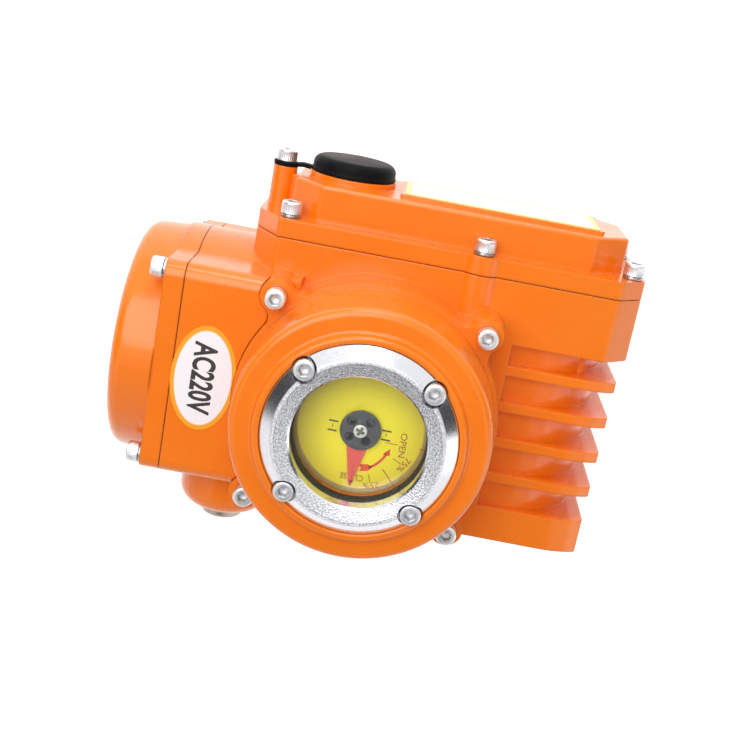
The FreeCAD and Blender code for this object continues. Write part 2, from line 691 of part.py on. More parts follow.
def worm_shaft():
    """Worm on its shaft, with the hexagon for the hand key at its outer end."""
    pitch = math.pi * worm_module
    outer = worm_pitch_radius + worm_module
    root = worm_pitch_radius - 1.25 * worm_module
    turns = round(worm_length / pitch)
    start = -turns * pitch / 2
    helix = Part.makeHelix(pitch, turns * pitch, worm_pitch_radius)
    slope = math.tan(math.radians(20))
    thick = pitch / 2 - worm_backlash / 2

    def width(radius):
        return thick / 2 - (radius - worm_pitch_radius) * slope
    low = root - 0.4
    thread = Part.makePolygon([V(low, 0, -width(low)), V(outer, 0, -width(outer)), V(outer, 0, width(outer)),
                               V(low, 0, width(low)), V(low, 0, -width(low))])
    thread = Part.Wire(helix).makePipeShell([thread], True, True)
    thread.Placement = FreeCAD.Placement(V(worm_x, start, mid_z), FreeCAD.Rotation(V(0, 0, 1), V(0, 1, 0)))
    half = worm_length / 2 + 3
    pieces = [rod(root, (worm_x, -half, mid_z), (worm_x, half, mid_z)),
              rod(root + 0.6, (worm_x, upper_bearing_y - 6, mid_z), (worm_x, upper_bearing_y, mid_z)),
              rod(root + 0.6, (worm_x, lower_bearing_y + bearing_width, mid_z),
                  (worm_x, lower_bearing_y + bearing_width + 6, mid_z)),
              thread]
    core = rod(worm_journal, (worm_x, lower_bearing_y, mid_z), (worm_x, cover_top_y + 2, mid_z))
    flats = [V(worm_x + worm_journal * math.cos(math.radians(60 * k)), cover_top_y,
               mid_z + worm_journal * math.sin(math.radians(60 * k))) for k in range(7)]
    hexagon = Part.Face(Part.makePolygon(flats)).extrude(V(0, 8.0, 0))
    return core.multiFuse(pieces + [hexagon])


def worm_wheel():
    """Bronze wheel with slanted teeth that follow the lead angle of the worm."""
    radius = wheel_radius
    tip = radius + worm_module
    root = radius - 1.25 * worm_module
    lead = worm_module / (2 * worm_pitch_radius)
    slope = math.tan(math.radians(20))
    half = math.pi * worm_module / 4 - worm_backlash / 4
    z0 = mid_z - wheel_width / 2
    tilt = lead * wheel_width / 2
    inner = root - 0.5
    profile = [(inner, half + (radius - inner) * slope), (tip, half - worm_module * slope)]
    profile += [(r, -h) for r, h in reversed(profile)]
    points = [V(-r, h + tilt, z0) for r, h in profile]
    tooth = Part.Face(Part.makePolygon(points + points[:1])).extrude(V(0, -2 * tilt, wheel_width))
    teeth = []
    for k in range(wheel_teeth):
        copy = tooth.copy()
        copy.rotate(V(0, 0, 0), V(0, 0, 1), 360 * (k + 0.5) / wheel_teeth)
        teeth.append(copy)
    disc = rod(root, (0, 0, z0), (0, 0, z0 + wheel_width))
    wheel = disc.multiFuse(teeth)
    return wheel.cut(rod(wheel_seat_radius, (0, 0, z0 - 1), (0, 0, z0 + wheel_width + 1)))


def output_shaft():
    """Drive sleeve with the square socket for the valve stem, wheel seat, stem and dial spindle."""
    shoulder = mid_z - wheel_width / 2
    shaft = turned([(0, 1, 0), (sleeve_radius, 1, 0), (sleeve_radius, shoulder, 0),
                    (wheel_seat_radius, shoulder, 0),
                    (wheel_seat_radius, chamber_floor_z - 0.5, 0), (stem_radius, chamber_floor_z - 0.5, 0),
                    (stem_radius, chamber_floor_z + chamber_height, 0),
                    (spindle_radius, chamber_floor_z + chamber_height, 0), (spindle_radius, pointer_z, 0),
                    (0, pointer_z, 0)])
    half = drive_square / 2
    socket = block(-half, half, -half, half, 1, 1 + drive_depth)
    return shaft.cut(socket)


def cam_levels():
    """Undersides of the two cams on the stem, the lower one first."""
    return [deck_z + 4, deck_z + 4 + cam_pitch]


def cams():
    """Two switch cams, each a disc with a flat lobe, clamped on the stem."""
    made = []
    for z, turn in zip(cam_levels(), (180, 270)):
        disc = rod(cam_radius, (0, 0, z), (0, 0, z + cam_width))
        flat = block(cam_radius - 3, cam_radius + 1, -16, 16, z, z + cam_width)
        flat.rotate(V(0, 0, 0), V(0, 0, 1), turn)
        made.append(disc.cut(flat).cut(rod(stem_radius, (0, 0, z - 1), (0, 0, z + cam_width + 1))))
    return Part.makeCompound(made)


def switches():
    """Two micro switches stacked beside the cams, with their buttons just off the cam discs."""
    made = []
    near = cam_radius + 1
    for z in cam_levels():
        low, high = z - 0.5, z + cam_width + 0.5
        case = block(near + 3, near + 17, -14, 14, low, high)
        button = block(near, near + 3.5, -2, 2, z + 1, z + cam_width - 1)
        rods = [rod(1.5, (near + 13, y, low - 1), (near + 13, y, high + 1)) for y in (9, -9)]
        made.append(cut(case.fuse(button), rods))
    return Part.makeCompound(made)


def switch_bracket():
    """Stepped bracket on the bearing plate, with the two rods that hold the switches."""
    near = cam_radius + 1
    low, high = cam_levels()
    foot = block(near + 4, near + 20, -18, 18, deck_z, deck_z + 1.5)
    step = block(near + 4, near + 17, -14, 14, deck_z + 1.5, low - 0.5)
    shelf = block(near + 8, near + 17, -14, 14, low + cam_width + 0.5, high - 0.5)
    rods = [rod(1.45, (near + 13, y, deck_z + 1), (near + 13, y, high + cam_width + 2)) for y in (9, -9)]
    return foot.fuse(step).multiFuse(rods + [shelf])


def rubber_cap():
    """Moulded rubber cap over the hand-drive neck."""
    y0 = cover_top_y + collar_height
    outer = turned([(0, 0, 0), (21.1, 0, 1.0), (21.1, cap_height, 4.0), (0, cap_height, 0)])
    inner = turned([(0, -1, 0), (neck_radius + 0.2, -1, 0), (neck_radius + 0.2, neck_height + 0.2, 0),
                    (9, neck_height + 0.2, 0), (9, cap_height - 1.6, 0), (0, cap_height - 1.6, 0)])
    cap = outer.cut(inner)
    cap.Placement = FreeCAD.Placement(V(worm_x, y0, mid_z), FreeCAD.Rotation(V(0, 0, 1), V(0, 1, 0)))
    return cap


def cap_strap():
    """Rubber strap with an eye under the tall screw, which keeps the cap."""
    low = cover_top_y + tall_boss_rise
    high = low + strap_thickness
    eye = tube(tall_boss_radius, m6_shank + clearance_hole, (tall_boss_x, low, mid_z), (tall_boss_x, high, mid_z))
    end_x = worm_x - collar_radius - clearance
    strip = block(tall_boss_x + 5, end_x, low, high, mid_z - 2.5, mid_z + 2.5)
    riser = block(end_x - 2, end_x, low, high + 2, mid_z - 2.5, mid_z + 2.5)
    return eye.multiFuse([strip, riser])


def terminal_block():
    """Row of screw terminals on the chamber wall."""
    x0 = terminal_floor_x
    body = block(x0 - 12, x0, -24, 32, mid_z - 9, mid_z + 9)
    tools = []
    for k in range(7):
        y = -20 + 8 * k
        tools.append(block(x0 - 13, x0 - 7, y - 3, y + 3, mid_z - 10, mid_z - 2))
        tools.append(block(x0 - 13, x0 - 7, y - 3, y + 3, mid_z + 2, mid_z + 10))
    return cut(body, tools)


def make_all():
    write("main_housing", housing())
    write("gear_cover", gear_cover())
    write("terminal_end_cover", end_cover())
    write("dial_cap", dial_cap())
    write("window_bezel", bezel())

    glass_z = glass_ledge_z + gasket_thickness
    write("window_glass", rod(glass_radius, (0, 0, glass_z), (0, 0, glass_top_z)))
    lower = tube(glass_radius, glass_ledge_radius, (0, 0, glass_ledge_z), (0, 0, glass_z))
    upper = tube(glass_radius, window_radius - gasket_lip, (0, 0, glass_top_z),
                 (0, 0, glass_top_z + upper_gasket))
    write("window_gaskets", Part.makeCompound([lower, upper]))

    room = rod(cap_wall_foot - cap_wall, (0, 0, dial_seat_z), (0, 0, dial_seat_z + seal_gap))
    outline = eared_face(dial_seat_z, rim_radius - seal_inset, ear_radius - seal_inset)
    gasket = outline.extrude(V(0, 0, seal_gap)).cut(room)
    write("dial_cap_gasket", cut(gasket, [rod(m6_shank + clearance_hole, (x, y, dial_seat_z),
                                              (x, y, dial_seat_z + 1)) for x, y in corners(ear_spacing)]))
    gasket = plan_prism(gearbox_points(seal_inset), cover_seat_y, cover_seat_y + seal_gap)
    gasket = gasket.cut(plan_prism(cover_box_points(cover_wall), cover_seat_y - 1, cover_seat_y + 1))
    write("gear_cover_gasket", cut(gasket, [rod(m6_shank + clearance_hole, (x, cover_seat_y - 1, z),
                                                (x, cover_seat_y + 1, z)) for x, z in cover_screws()]))
    gasket = terminal_face(terminal_left, seal_inset).extrude(V(-seal_gap, 0, 0))
    tools = [rod(terminal_bore, (terminal_left + 1, terminal_y, terminal_z),
                 (terminal_left - 1, terminal_y, terminal_z))]
    tools += [rod(m6_shank + clearance_hole, (terminal_left + 1, y, z), (terminal_left - 1, y, z))
              for y, z in end_cover_screws()]
    write("end_cover_gasket", cut(gasket, tools))

    screw_set("dial_cap", [(x, y, dial_seat_z + ear_thickness) for x, y in corners(ear_spacing)], (0, 0, 1), 18)
    screw_set("bezel", [(x, y, bezel_screw_seat_z) for x, y in corners(bezel_screw_spacing)],
              (0, 0, 1), 13, False)
    flange_top = cover_seat_y + cover_flange
    screw_set("gear_cover", [(x, flange_top, z) for x, z in cover_screws()[:-1]], (0, 1, 0), 20)
    strap_top = cover_top_y + tall_boss_rise + strap_thickness
    write("strap_screw", socket_screw((tall_boss_x, strap_top, mid_z), (0, 1, 0), 38))
    screw_set("end_cover", [(terminal_left - end_flange, y, z) for y, z in end_cover_screws()], (-1, 0, 0), 20)

    write("dial_plate", rod(dial_radius, (0, 0, dial_z), (0, 0, dial_z + dial_thickness)).cut(
        rod(spindle_radius + 1, (0, 0, dial_z - 1), (0, 0, dial_z + 3))))
    spots = [(post_circle * math.cos(math.radians(d)), post_circle * math.sin(math.radians(d)))
             for d in (60, 180, 300)]
    write("dial_posts", Part.makeCompound([rod(post_radius, (x, y, chamber_floor_z), (x, y, dial_z))
                                           for x, y in spots]))
    outline = [(-5.2, -7.5), (-1.3, -27), (-0.1, -28.3), (4.6, -7.5), (4.6, 4), (-5.2, 4), (-5.2, -7.5)]
    pointer = Part.Face(Part.makePolygon([V(x, y, pointer_z) for x, y in outline]))
    write("pointer", pointer.extrude(V(0, 0, pointer_thickness)))
    hub_z = pointer_z + pointer_thickness
    write("pointer_hub", rod(hub_radius, (0, 0, hub_z), (0, 0, hub_z + hub_thickness)))
    write("hub_screw", rod(hub_screw_radius, (0, 0, hub_z + hub_thickness),
                           (0, 0, hub_z + hub_thickness + hub_screw_height)))

    write("output_shaft", output_shaft())
    write("worm_wheel", worm_wheel())
    write("worm_shaft", worm_shaft())
    write("switch_cams", cams())
    write("micro_switches", switches())
    write("switch_bracket", switch_bracket())
    bearing = [tube(bearing_radius, worm_journal, (worm_x, y, mid_z), (worm_x, y + bearing_width, mid_z))
               for y in (upper_bearing_y, lower_bearing_y)]
    write("worm_bearings", Part.makeCompound(bearing))
    plate = rod(post_circle + 2, (0, 0, chamber_floor_z), (0, 0, deck_z))
    holes = [rod(stem_bush_radius, (0, 0, chamber_floor_z), (0, 0, deck_z))]
    holes += [rod(post_radius + 0.2, (x, y, chamber_floor_z), (x, y, deck_z)) for x, y in spots]
    write("bearing_plate", cut(plate, holes))
    write("output_bushes", Part.makeCompound([
        tube(bush_radius, sleeve_radius + running_fit, (0, 0, bush_low_z), (0, 0, bush_high_z)),
        tube(stem_bush_radius, stem_radius + running_fit, (0, 0, chamber_floor_z), (0, 0, deck_z))]))
    write("output_seal", tube(bush_radius, sleeve_radius + running_fit, (0, 0, 2), (0, 0, bush_low_z - 1)))
    write("hand_drive_seal", tube(seal_radius, worm_journal + running_fit, (worm_x, cover_top_y - 1, mid_z),
                                  (worm_x, cover_top_y + 5, mid_z)))

    left, right = worm_x - 18, motor_x + 23
    near, far = mid_z - gear_plate_half_width, mid_z + gear_plate_half_width
    gear_plate = plan_prism([(left, far, 8), (left, near, 8), (right, near, 8), (right, far, 8)],
                            gearbox_floor_y, gearbox_floor_y + plate_thickness)
    low, high = gearbox_floor_y - 1, gearbox_floor_y + 10
    tools = [rod(worm_journal + 2, (worm_x, low, mid_z), (worm_x, high, mid_z)),
             rod(motor_bearing_radius, (motor_x, low, mid_z), (motor_x, high, mid_z))]
    tools += [rod(idler_pin, (x, low, mid_z), (x, high, mid_z)) for x in (first_x, second_x)]
    tools += [rod(plate_screw_shank + 0.2, (x, low, z), (x, high, z)) for x, z in plate_screws()]
    write("gear_plate", cut(gear_plate, tools))
    plate_top = gearbox_floor_y + plate_thickness
    write("gear_plate_screws", Part.makeCompound([
        rod(plate_screw_shank, (x, gearbox_floor_y - plate_screw_grip, z), (x, plate_top, z)).fuse(
            rod(plate_screw_head, (x, plate_top, z), (x, plate_top + plate_screw_height, z)))
        for x, z in plate_screws()]))
    write("idler_pins", Part.makeCompound([
        rod(idler_pin, (first_x, gearbox_floor_y, mid_z), (first_x, level_motor_y + gear_width + 3, mid_z)),
        rod(idler_pin, (second_x, gearbox_floor_y, mid_z),
            (second_x, level_second_y + gear_width + 3, mid_z))]))
    half_turn = math.pi
    write("first_idler", idler(first_x, first_pinion, level_second_y, level_motor_y - level_second_y,
                               first_teeth, level_motor_y, 0, half_turn + math.pi / first_pinion))
    write("second_idler", idler(second_x, second_pinion, level_worm_y, level_second_y - level_worm_y,
                                second_teeth, level_second_y, 0, half_turn + math.pi / second_pinion))
    write("worm_gear", spur(worm_gear_teeth, worm_x, level_worm_y, gear_width, worm_journal, 0))

    pinion = spur(motor_teeth, motor_x, level_motor_y - 1, gear_width + 2, 0, half_turn + math.pi / motor_teeth)
    shaft = rod(motor_shaft, (motor_x, motor_bore_end_y - motor_bearing_width + 1, mid_z),
                (motor_x, level_motor_y, mid_z))
    write("rotor_shaft", shaft.fuse(pinion))
    stator = motor_bore - running_fit
    core_low, core_high = motor_bore_end_y + 19, motor_bore_end_y + 65
    write("rotor_core", tube(stator - 12, motor_shaft, (motor_x, core_low - 2, mid_z),
                             (motor_x, core_high + 2, mid_z)))
    write("stator_core", tube(stator, stator - 11.4, (motor_x, core_low, mid_z), (motor_x, core_high, mid_z)))
    write("stator_windings", Part.makeCompound([
        tube(stator - 1.5, stator - 10.5, (motor_x, core_high, mid_z), (motor_x, core_high + 12, mid_z)),
        tube(stator - 1.5, stator - 10.5, (motor_x, core_low - 12, mid_z), (motor_x, core_low, mid_z))]))
    write("motor_bearings", Part.makeCompound([
        tube(motor_bearing_radius, motor_shaft, (motor_x, motor_bore_end_y - motor_bearing_width, mid_z),
             (motor_x, motor_bore_end_y, mid_z)),
        tube(motor_bearing_radius, motor_shaft, (motor_x, gearbox_floor_y, mid_z),
             (motor_x, gearbox_floor_y + motor_bearing_width, mid_z))]))

    write("terminal_block", terminal_block())
    x, z = terminal_floor_x - capacitor_radius - 1.2, terminal_z - capacitor_drop
    can = rod(capacitor_radius, (x, -24, z), (x, 26, z))
    write("run_capacitor", can)
    clip = rod(capacitor_radius + 1.2, (x, -2, z), (x, 8, z))
    write("capacitor_clip", clip.fuse(block(x, terminal_floor_x, -2, 8, z - 4, z + 4)).cut(can))

    write("rubber_cap", rubber_cap())
    write("cap_strap", cap_strap())
    plug = rod(plug_radius, (entry_x, entry_end_y - plug_head, entry_z), (entry_x, entry_end_y, entry_z))
    plug = round_edges(plug, 2.0, lambda e: e.BoundBox.YMax < entry_end_y - plug_head + 0.1)
    stub = rod(entry_thread / 2, (entry_x, entry_end_y, entry_z), (entry_x, entry_end_y + 15, entry_z))
    write("entry_plug", plug.fuse(stub))
    top = cover_top_y + pad_height
    write("data_plate", plan_prism(pad_points(plate_inset), top, top + 0.4))
    middle = V(-78, 3, terminal_z + terminal_half_depth)
    label = Part.Face(Part.Wire(Part.Ellipse(middle, 26, 15.6).toShape()))
    label.rotate(middle, V(0, 0, 1), 90)
    write("voltage_label", label.extrude(V(0, 0, 0.2)).cut(cap_room()))


make_all()
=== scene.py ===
import bpy, bmesh, math
import numpy as np
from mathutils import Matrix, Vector


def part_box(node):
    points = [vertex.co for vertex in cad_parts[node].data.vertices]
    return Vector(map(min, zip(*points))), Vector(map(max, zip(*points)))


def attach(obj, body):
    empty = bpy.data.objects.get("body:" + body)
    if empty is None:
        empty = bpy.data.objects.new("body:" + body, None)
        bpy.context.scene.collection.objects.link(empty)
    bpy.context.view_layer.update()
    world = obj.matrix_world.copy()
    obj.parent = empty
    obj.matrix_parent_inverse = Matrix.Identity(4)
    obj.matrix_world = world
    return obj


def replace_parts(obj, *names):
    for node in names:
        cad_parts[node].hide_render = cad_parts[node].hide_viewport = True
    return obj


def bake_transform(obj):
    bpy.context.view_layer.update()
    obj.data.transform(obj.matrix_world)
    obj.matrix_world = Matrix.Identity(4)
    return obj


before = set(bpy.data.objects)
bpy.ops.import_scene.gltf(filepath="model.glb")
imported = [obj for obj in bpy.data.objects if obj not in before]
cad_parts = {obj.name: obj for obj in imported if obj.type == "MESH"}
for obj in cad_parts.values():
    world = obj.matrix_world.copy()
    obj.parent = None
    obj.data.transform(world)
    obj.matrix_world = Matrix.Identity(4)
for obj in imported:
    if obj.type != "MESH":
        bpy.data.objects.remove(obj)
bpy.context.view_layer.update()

mm = 0.001
weld = {"merge": 1e-6, "sliver": 1e-7}  # metres
print("frame loaded:", len(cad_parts), "nodes")


def toLinear(code):  # sRGB hex to linear light: divide by 12.92 when dark, else the 2.4 power curve
    c = np.array([int(code[i:i + 2], 16) for i in (0, 2, 4)]) / 255
    return tuple(np.where(c <= 0.04045, c / 12.92, ((c + 0.055) / 1.055) ** 2.4)) + (1.0,)


def addNode(tree, kind, sockets=None, **settings):  # one shader node with its settings, values and links
    node = tree.nodes.new(kind)
    for key, value in settings.items():
        setattr(node, key, value)
    for key, value in (sockets or {}).items():
        if isinstance(value, bpy.types.NodeSocket):
            tree.links.new(value, node.inputs[key])
        else:
            node.inputs[key].default_value = value
    return node


def ramp(tree, value, span, low=0.0, high=1.0):  # a value carried from its span to low..high, then held
    return addNode(tree, "ShaderNodeMapRange", {"Value": value, "From Min": span[0], "From Max": span[1],
                                                "To Min": low, "To Max": high}).outputs[0]


def metres(*values):  # a span or a place in millimetres, turned to metres
    return tuple(v * mm for v in values)


def meshPiece(name, points, faces, material, body, sharp=40, slotName=None):
    # points in millimetres; doubles at seams and poles are merged and the faces turned outwards
    mesh = bpy.data.meshes.new(name)
    corners = (np.asarray(points, float).reshape(-1, 3) * mm).tolist()
    mesh.from_pydata(corners, [], [tuple(int(i) for i in f) for f in faces])
    work = bmesh.new()
    work.from_mesh(mesh)
    bmesh.ops.remove_doubles(work, verts=work.verts, dist=weld["merge"])
    bmesh.ops.dissolve_degenerate(work, dist=weld["sliver"], edges=work.edges)
    bmesh.ops.recalc_face_normals(work, faces=work.faces)
    work.to_mesh(mesh)
    work.free()
    mesh.shade_smooth()
    mesh.set_sharp_from_angle(angle=math.radians(sharp))
    mesh.materials.append(material)
    piece = bpy.data.objects.new(name, mesh)
    bpy.context.scene.collection.objects.link(piece)
    if body:
        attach(piece, body)
    return piece


def gridFaces(rows, columns, wrapColumns=True, wrapRows=False):
    # quads that join each grid point to its right and upper neighbours
    i = np.arange(rows if wrapRows else rows - 1)
    j = np.arange(columns if wrapColumns else columns - 1)
    i, j = np.meshgrid(i, j, indexing="ij")
    i2, j2 = (i + 1) % rows, (j + 1) % columns
    corners = [i * columns + j, i * columns + j2, i2 * columns + j2, i2 * columns + j]
    return np.stack(corners, -1).reshape(-1, 4)


def turnedGrid(profile, columns):  # a profile of (radius, height) carried round the Z axis
    profile = np.asarray(profile, float)
    angle = np.linspace(0, 2 * np.pi, columns, endpoint=False)
    radius = np.repeat(profile[:, :1], columns, 1)
    height = np.repeat(profile[:, 1:2], columns, 1)
    return np.stack([radius * np.cos(angle), radius * np.sin(angle), height], -1)


def roundCorner(centre, radius, start, end, steps):  # an arc in the profile plane, angles in degrees
    a = np.radians(np.linspace(start, end, steps))
    return np.stack([centre[0] + radius * np.cos(a), centre[1] + radius * np.sin(a)], -1)


def roundedSection(inner, outer, low, high, r, steps=4):  # rectangle with rounded corners, counter-clockwise
    corners = [((outer - r, high - r), 0), ((inner + r, high - r), 90), ((inner + r, low + r), 180),
               ((outer - r, low + r), 270)]
    return np.vstack([roundCorner(c, r, a, a + 90, steps) for c, a in corners])


def aboutZ(degrees):  # the matrix of a turn about +Z
    a = math.radians(degrees)
    return np.array([[math.cos(a), -math.sin(a), 0], [math.sin(a), math.cos(a), 0], [0, 0, 1]])


def alongAxis(points, place, axis):  # turns a shape built on +Z to the axis and moves it to its place
    turn = np.array(Vector((0, 0, 1)).rotation_difference(Vector(axis)).to_matrix())
    return np.asarray(points).reshape(-1, 3) @ turn.T + np.array(place)


def flatPlate(outline, z, thickness):  # closed plate: the outline at two heights, joined round its edge
    outline = np.asarray(outline, float)
    n = len(outline)
    top = np.column_stack([outline, np.full(n, z + thickness)])
    low = np.column_stack([outline, np.full(n, z)])
    i = np.arange(n)
    sides = np.stack([i, (i + 1) % n, (i + 1) % n + n, i + n], -1)
    return np.vstack([low, top]), [tuple(range(n))[::-1], tuple(range(n, 2 * n))] + [tuple(s) for s in sides]


def joinParts(parts):  # several (points, faces) in one mesh
    points, faces, count = [], [], 0
    for p, f in parts:
        p = np.asarray(p, float).reshape(-1, 3)
        points.append(p)
        faces += [tuple(int(v) + count for v in face) for face in f]
        count += len(p)
    return np.vstack(points), faces


letters = {"extrude": 0.5, "smooth": 4}


def textPlate(words, height, width, place, turnDegrees, thickness, bolder):
    # letters as a thin plate in the XY plane, scaled to a height and a whole width in millimetres
    curve = bpy.data.curves.new("letters", "FONT")
    curve.body, curve.align_x, curve.align_y = words, "CENTER", "CENTER"
    curve.extrude, curve.offset, curve.resolution_u = letters["extrude"], bolder, letters["smooth"]
    holder = bpy.data.objects.new("letters", curve)
    bpy.context.scene.collection.objects.link(holder)
    bpy.context.view_layer.update()
    mesh = bpy.data.meshes.new_from_object(holder.evaluated_get(bpy.context.evaluated_depsgraph_get()))
    co = np.zeros(len(mesh.vertices) * 3)
    mesh.vertices.foreach_get("co", co)
    co = co.reshape(-1, 3)
    faces = [tuple(p.vertices) for p in mesh.polygons]
    bpy.data.objects.remove(holder)
    low, high = co.min(0), co.max(0)
    co = (co - (low + high) / 2) / (high - low) * np.array([width, height, thickness])
    return co @ aboutZ(turnDegrees).T + np.array(place), faces


finishes = {  # tones are sRGB hex; grain and bump sizes are millimetres on the real part
    "glossOrangeEnamel": dict(tones=("f1750b", "f47e0d"), rough=(0.22, 0.32), grain=24, bumpGrain=2.4,
                              bump=0.030, coat=0.42, specular=0.30, edge=1.5),
    "groundSteel": dict(tones=("b4b6b9", "c6c8ca"), metallic=1, rough=(0.24, 0.38), grain=3, bumpGrain=0.6,
                        bump=0.004),
    # recess is the share of tone left by the painted shade in sockets and crevices
    "stainlessScrew": dict(tones=("dcdddf", "efeff0"), metallic=1, rough=(0.34, 0.46), grain=2.5,
                           bumpGrain=0.7, bump=0.012, recess=0.22),
    "springSteelWasher": dict(tones=("b4b6ba", "d0d1d4"), metallic=1, rough=(0.28, 0.42), grain=2,
                              bumpGrain=0.6, bump=0.010, recess=0.45),
    "darkSteelLamination": dict(tones=("55575b", "6a6c70"), metallic=1, rough=(0.4, 0.55), grain=5,
                                bumpGrain=0.5, bump=0.02),
    "zincPlatedSteel": dict(tones=("a9ada8", "c3c5bd"), metallic=1, rough=(0.3, 0.45), grain=9, bumpGrain=1.2,
                            bump=0.006),
    "machinedBronze": dict(tones=("b98545", "cd9c58"), metallic=1, rough=(0.28, 0.4), grain=4, bumpGrain=0.8,
                           bump=0.006),
    "castAluminium": dict(tones=("a6a8ab", "b8babd"), metallic=1, rough=(0.42, 0.55), grain=6, bumpGrain=0.9,
                          bump=0.03),
    "varnishedCopper": dict(tones=("9a4a22", "b5602c"), metallic=0.6, rough=(0.3, 0.42), grain=1.2,
                            bumpGrain=0.7, bump=0.08, coat=0.5),
    "whiteNylon": dict(tones=("e2e1da", "ebeae4"), rough=(0.42, 0.5), grain=8, bumpGrain=0.9, bump=0.01),
    "blackPhenolic": dict(tones=("1b1c1e", "26272a"), rough=(0.38, 0.48), grain=6, bumpGrain=0.9, bump=0.012),
    "gasketRubber": dict(tones=("141415", "1d1d1f"), rough=(0.5, 0.62), grain=4, bumpGrain=0.6, bump=0.02),
    "fibreGasket": dict(tones=("4a2a18", "5a351f"), rough=(0.7, 0.8), grain=9, bumpGrain=1.5, bump=0.006),
    "mouldedRubber": dict(tones=("101113", "18191b"), rough=(0.38, 0.48), grain=14, bumpGrain=1.1, bump=0.018,
                          specular=0.05, edge=0.5),
    "darkRedInk": dict(tones=("b3201c", "bf2a24"), rough=(0.45, 0.55), grain=2, bumpGrain=0.6, bump=0.002),
    "nickelPlug": dict(tones=("a89c92", "c4b9ae"), metallic=1, rough=(0.3, 0.44), grain=5, bumpGrain=0.9,
                       bump=0.02, edge=0.5),
    "greyHubPlastic": dict(tones=("36363f", "42424d"), rough=(0.20, 0.30), grain=5, bumpGrain=0.8, bump=0.012,
                           coat=0.3),
    "blackInk": dict(tones=("2b2a24", "34332c"), rough=(0.5, 0.6), grain=2, bumpGrain=0.6, bump=0.002),
    "brownInk": dict(tones=("a8461a", "b5521f"), rough=(0.5, 0.6), grain=2, bumpGrain=0.6, bump=0.002),
    "redInk": dict(tones=("dd3a14", "e4481c"), rough=(0.45, 0.55), grain=2, bumpGrain=0.6, bump=0.002),
}
surface = {"coatRough": 0.12, "slowDetail": 3.0, "slowSpan": (0.3, 0.7), "fineDetail": 2.0, "edgeSamples": 6,
           "openSpan": (0.25, 0.85), "openReach": 3.0, "openSamples": 8}


def baseMaterial(name, tones, rough, grain, bumpGrain, bump, metallic=0.0, coat=0.0, edge=0.0, specular=0.5,
                 recess=1.0):
    # two close tones and a roughness range follow one slow noise; a fine noise gives the bump;
    # where recess is under 1 the tone falls to that share in sockets, slots and crevices, as painted shade
    # from an occlusion node
    made = bpy.data.materials.new(name)
    made.use_nodes = True
    tree = made.node_tree
    shader = tree.nodes["Principled BSDF"]
    shader.inputs["Metallic"].default_value = metallic
    shader.inputs["Coat Weight"].default_value = coat
    shader.inputs["Coat Roughness"].default_value = surface["coatRough"]
    shader.inputs["Specular IOR Level"].default_value = specular
    where = addNode(tree, "ShaderNodeTexCoord")
    slow = addNode(tree, "ShaderNodeTexNoise", {"Vector": where.outputs["Object"], "Scale": 1000 / grain,
                                                "Detail": surface["slowDetail"]})
    mix = addNode(tree, "ShaderNodeMix", {0: slow.outputs["Fac"], 6: toLinear(tones[0]),
                                          7: toLinear(tones[1])}, data_type="RGBA")
    spread = ramp(tree, slow.outputs["Fac"], surface["slowSpan"], rough[0], rough[1])
    fine = addNode(tree, "ShaderNodeTexNoise", {"Vector": where.outputs["Object"], "Scale": 1000 / bumpGrain,
                                                "Detail": surface["fineDetail"]})
    relief = addNode(tree, "ShaderNodeBump", {"Height": fine.outputs["Fac"], "Distance": bump * mm,
                                              "Strength": 1.0})
    if edge:
        soft = addNode(tree, "ShaderNodeBevel", {"Radius": edge * mm}, samples=surface["edgeSamples"])
        tree.links.new(soft.outputs["Normal"], relief.inputs["Normal"])  # cast and moulded edges are rounded
    if recess < 1:
        # painted shade: an occlusion node darkens the base colour in sockets, slots and crevices
        near = addNode(tree, "ShaderNodeAmbientOcclusion", {"Distance": surface["openReach"] * mm},
                       samples=surface["openSamples"])
        share = ramp(tree, near.outputs["AO"], surface["openSpan"], recess)
        shaded = addNode(tree, "ShaderNodeVectorMath", {0: mix.outputs[2], "Scale": share}, operation="SCALE")
        tree.links.new(shaded.outputs["Vector"], shader.inputs["Base Color"])
    else:
        tree.links.new(mix.outputs[2], shader.inputs["Base Color"])
    tree.links.new(spread, shader.inputs["Roughness"])
    tree.links.new(relief.outputs["Normal"], shader.inputs["Normal"])
    return made, tree, shader, where, mix, relief


materials = {name: baseMaterial(name, **values)[0] for name, values in finishes.items()}


def reachOf(tree, where):  # distance from the axis of the dial: the length of (x, y)
    apart = addNode(tree, "ShaderNodeSeparateXYZ", {"Vector": where.outputs["Object"]})
    flat = addNode(tree, "ShaderNodeCombineXYZ", {"X": apart.outputs["X"], "Y": apart.outputs["Y"]})
    reach = addNode(tree, "ShaderNodeVectorMath", {0: flat.outputs["Vector"]}, operation="LENGTH")
    return reach.outputs["Value"]


bezelCasting = {  # spans are distances from the axis of the dial in millimetres
    "boreSpan": (31.1, 31.8), "boreRelief": 0.02, "bevelSpan": (38.6, 39.8), "bevelRelief": 0.12,
    "speckScale": 1250.0, "speckDetail": 1.0, "speckSpan": (0.40, 0.56), "pitShadeTone": 0.70,
    "ridgeRise": (37.0, 37.9), "ridgeFall": (38.9, 39.8), "ridgeRough": 0.62,
}


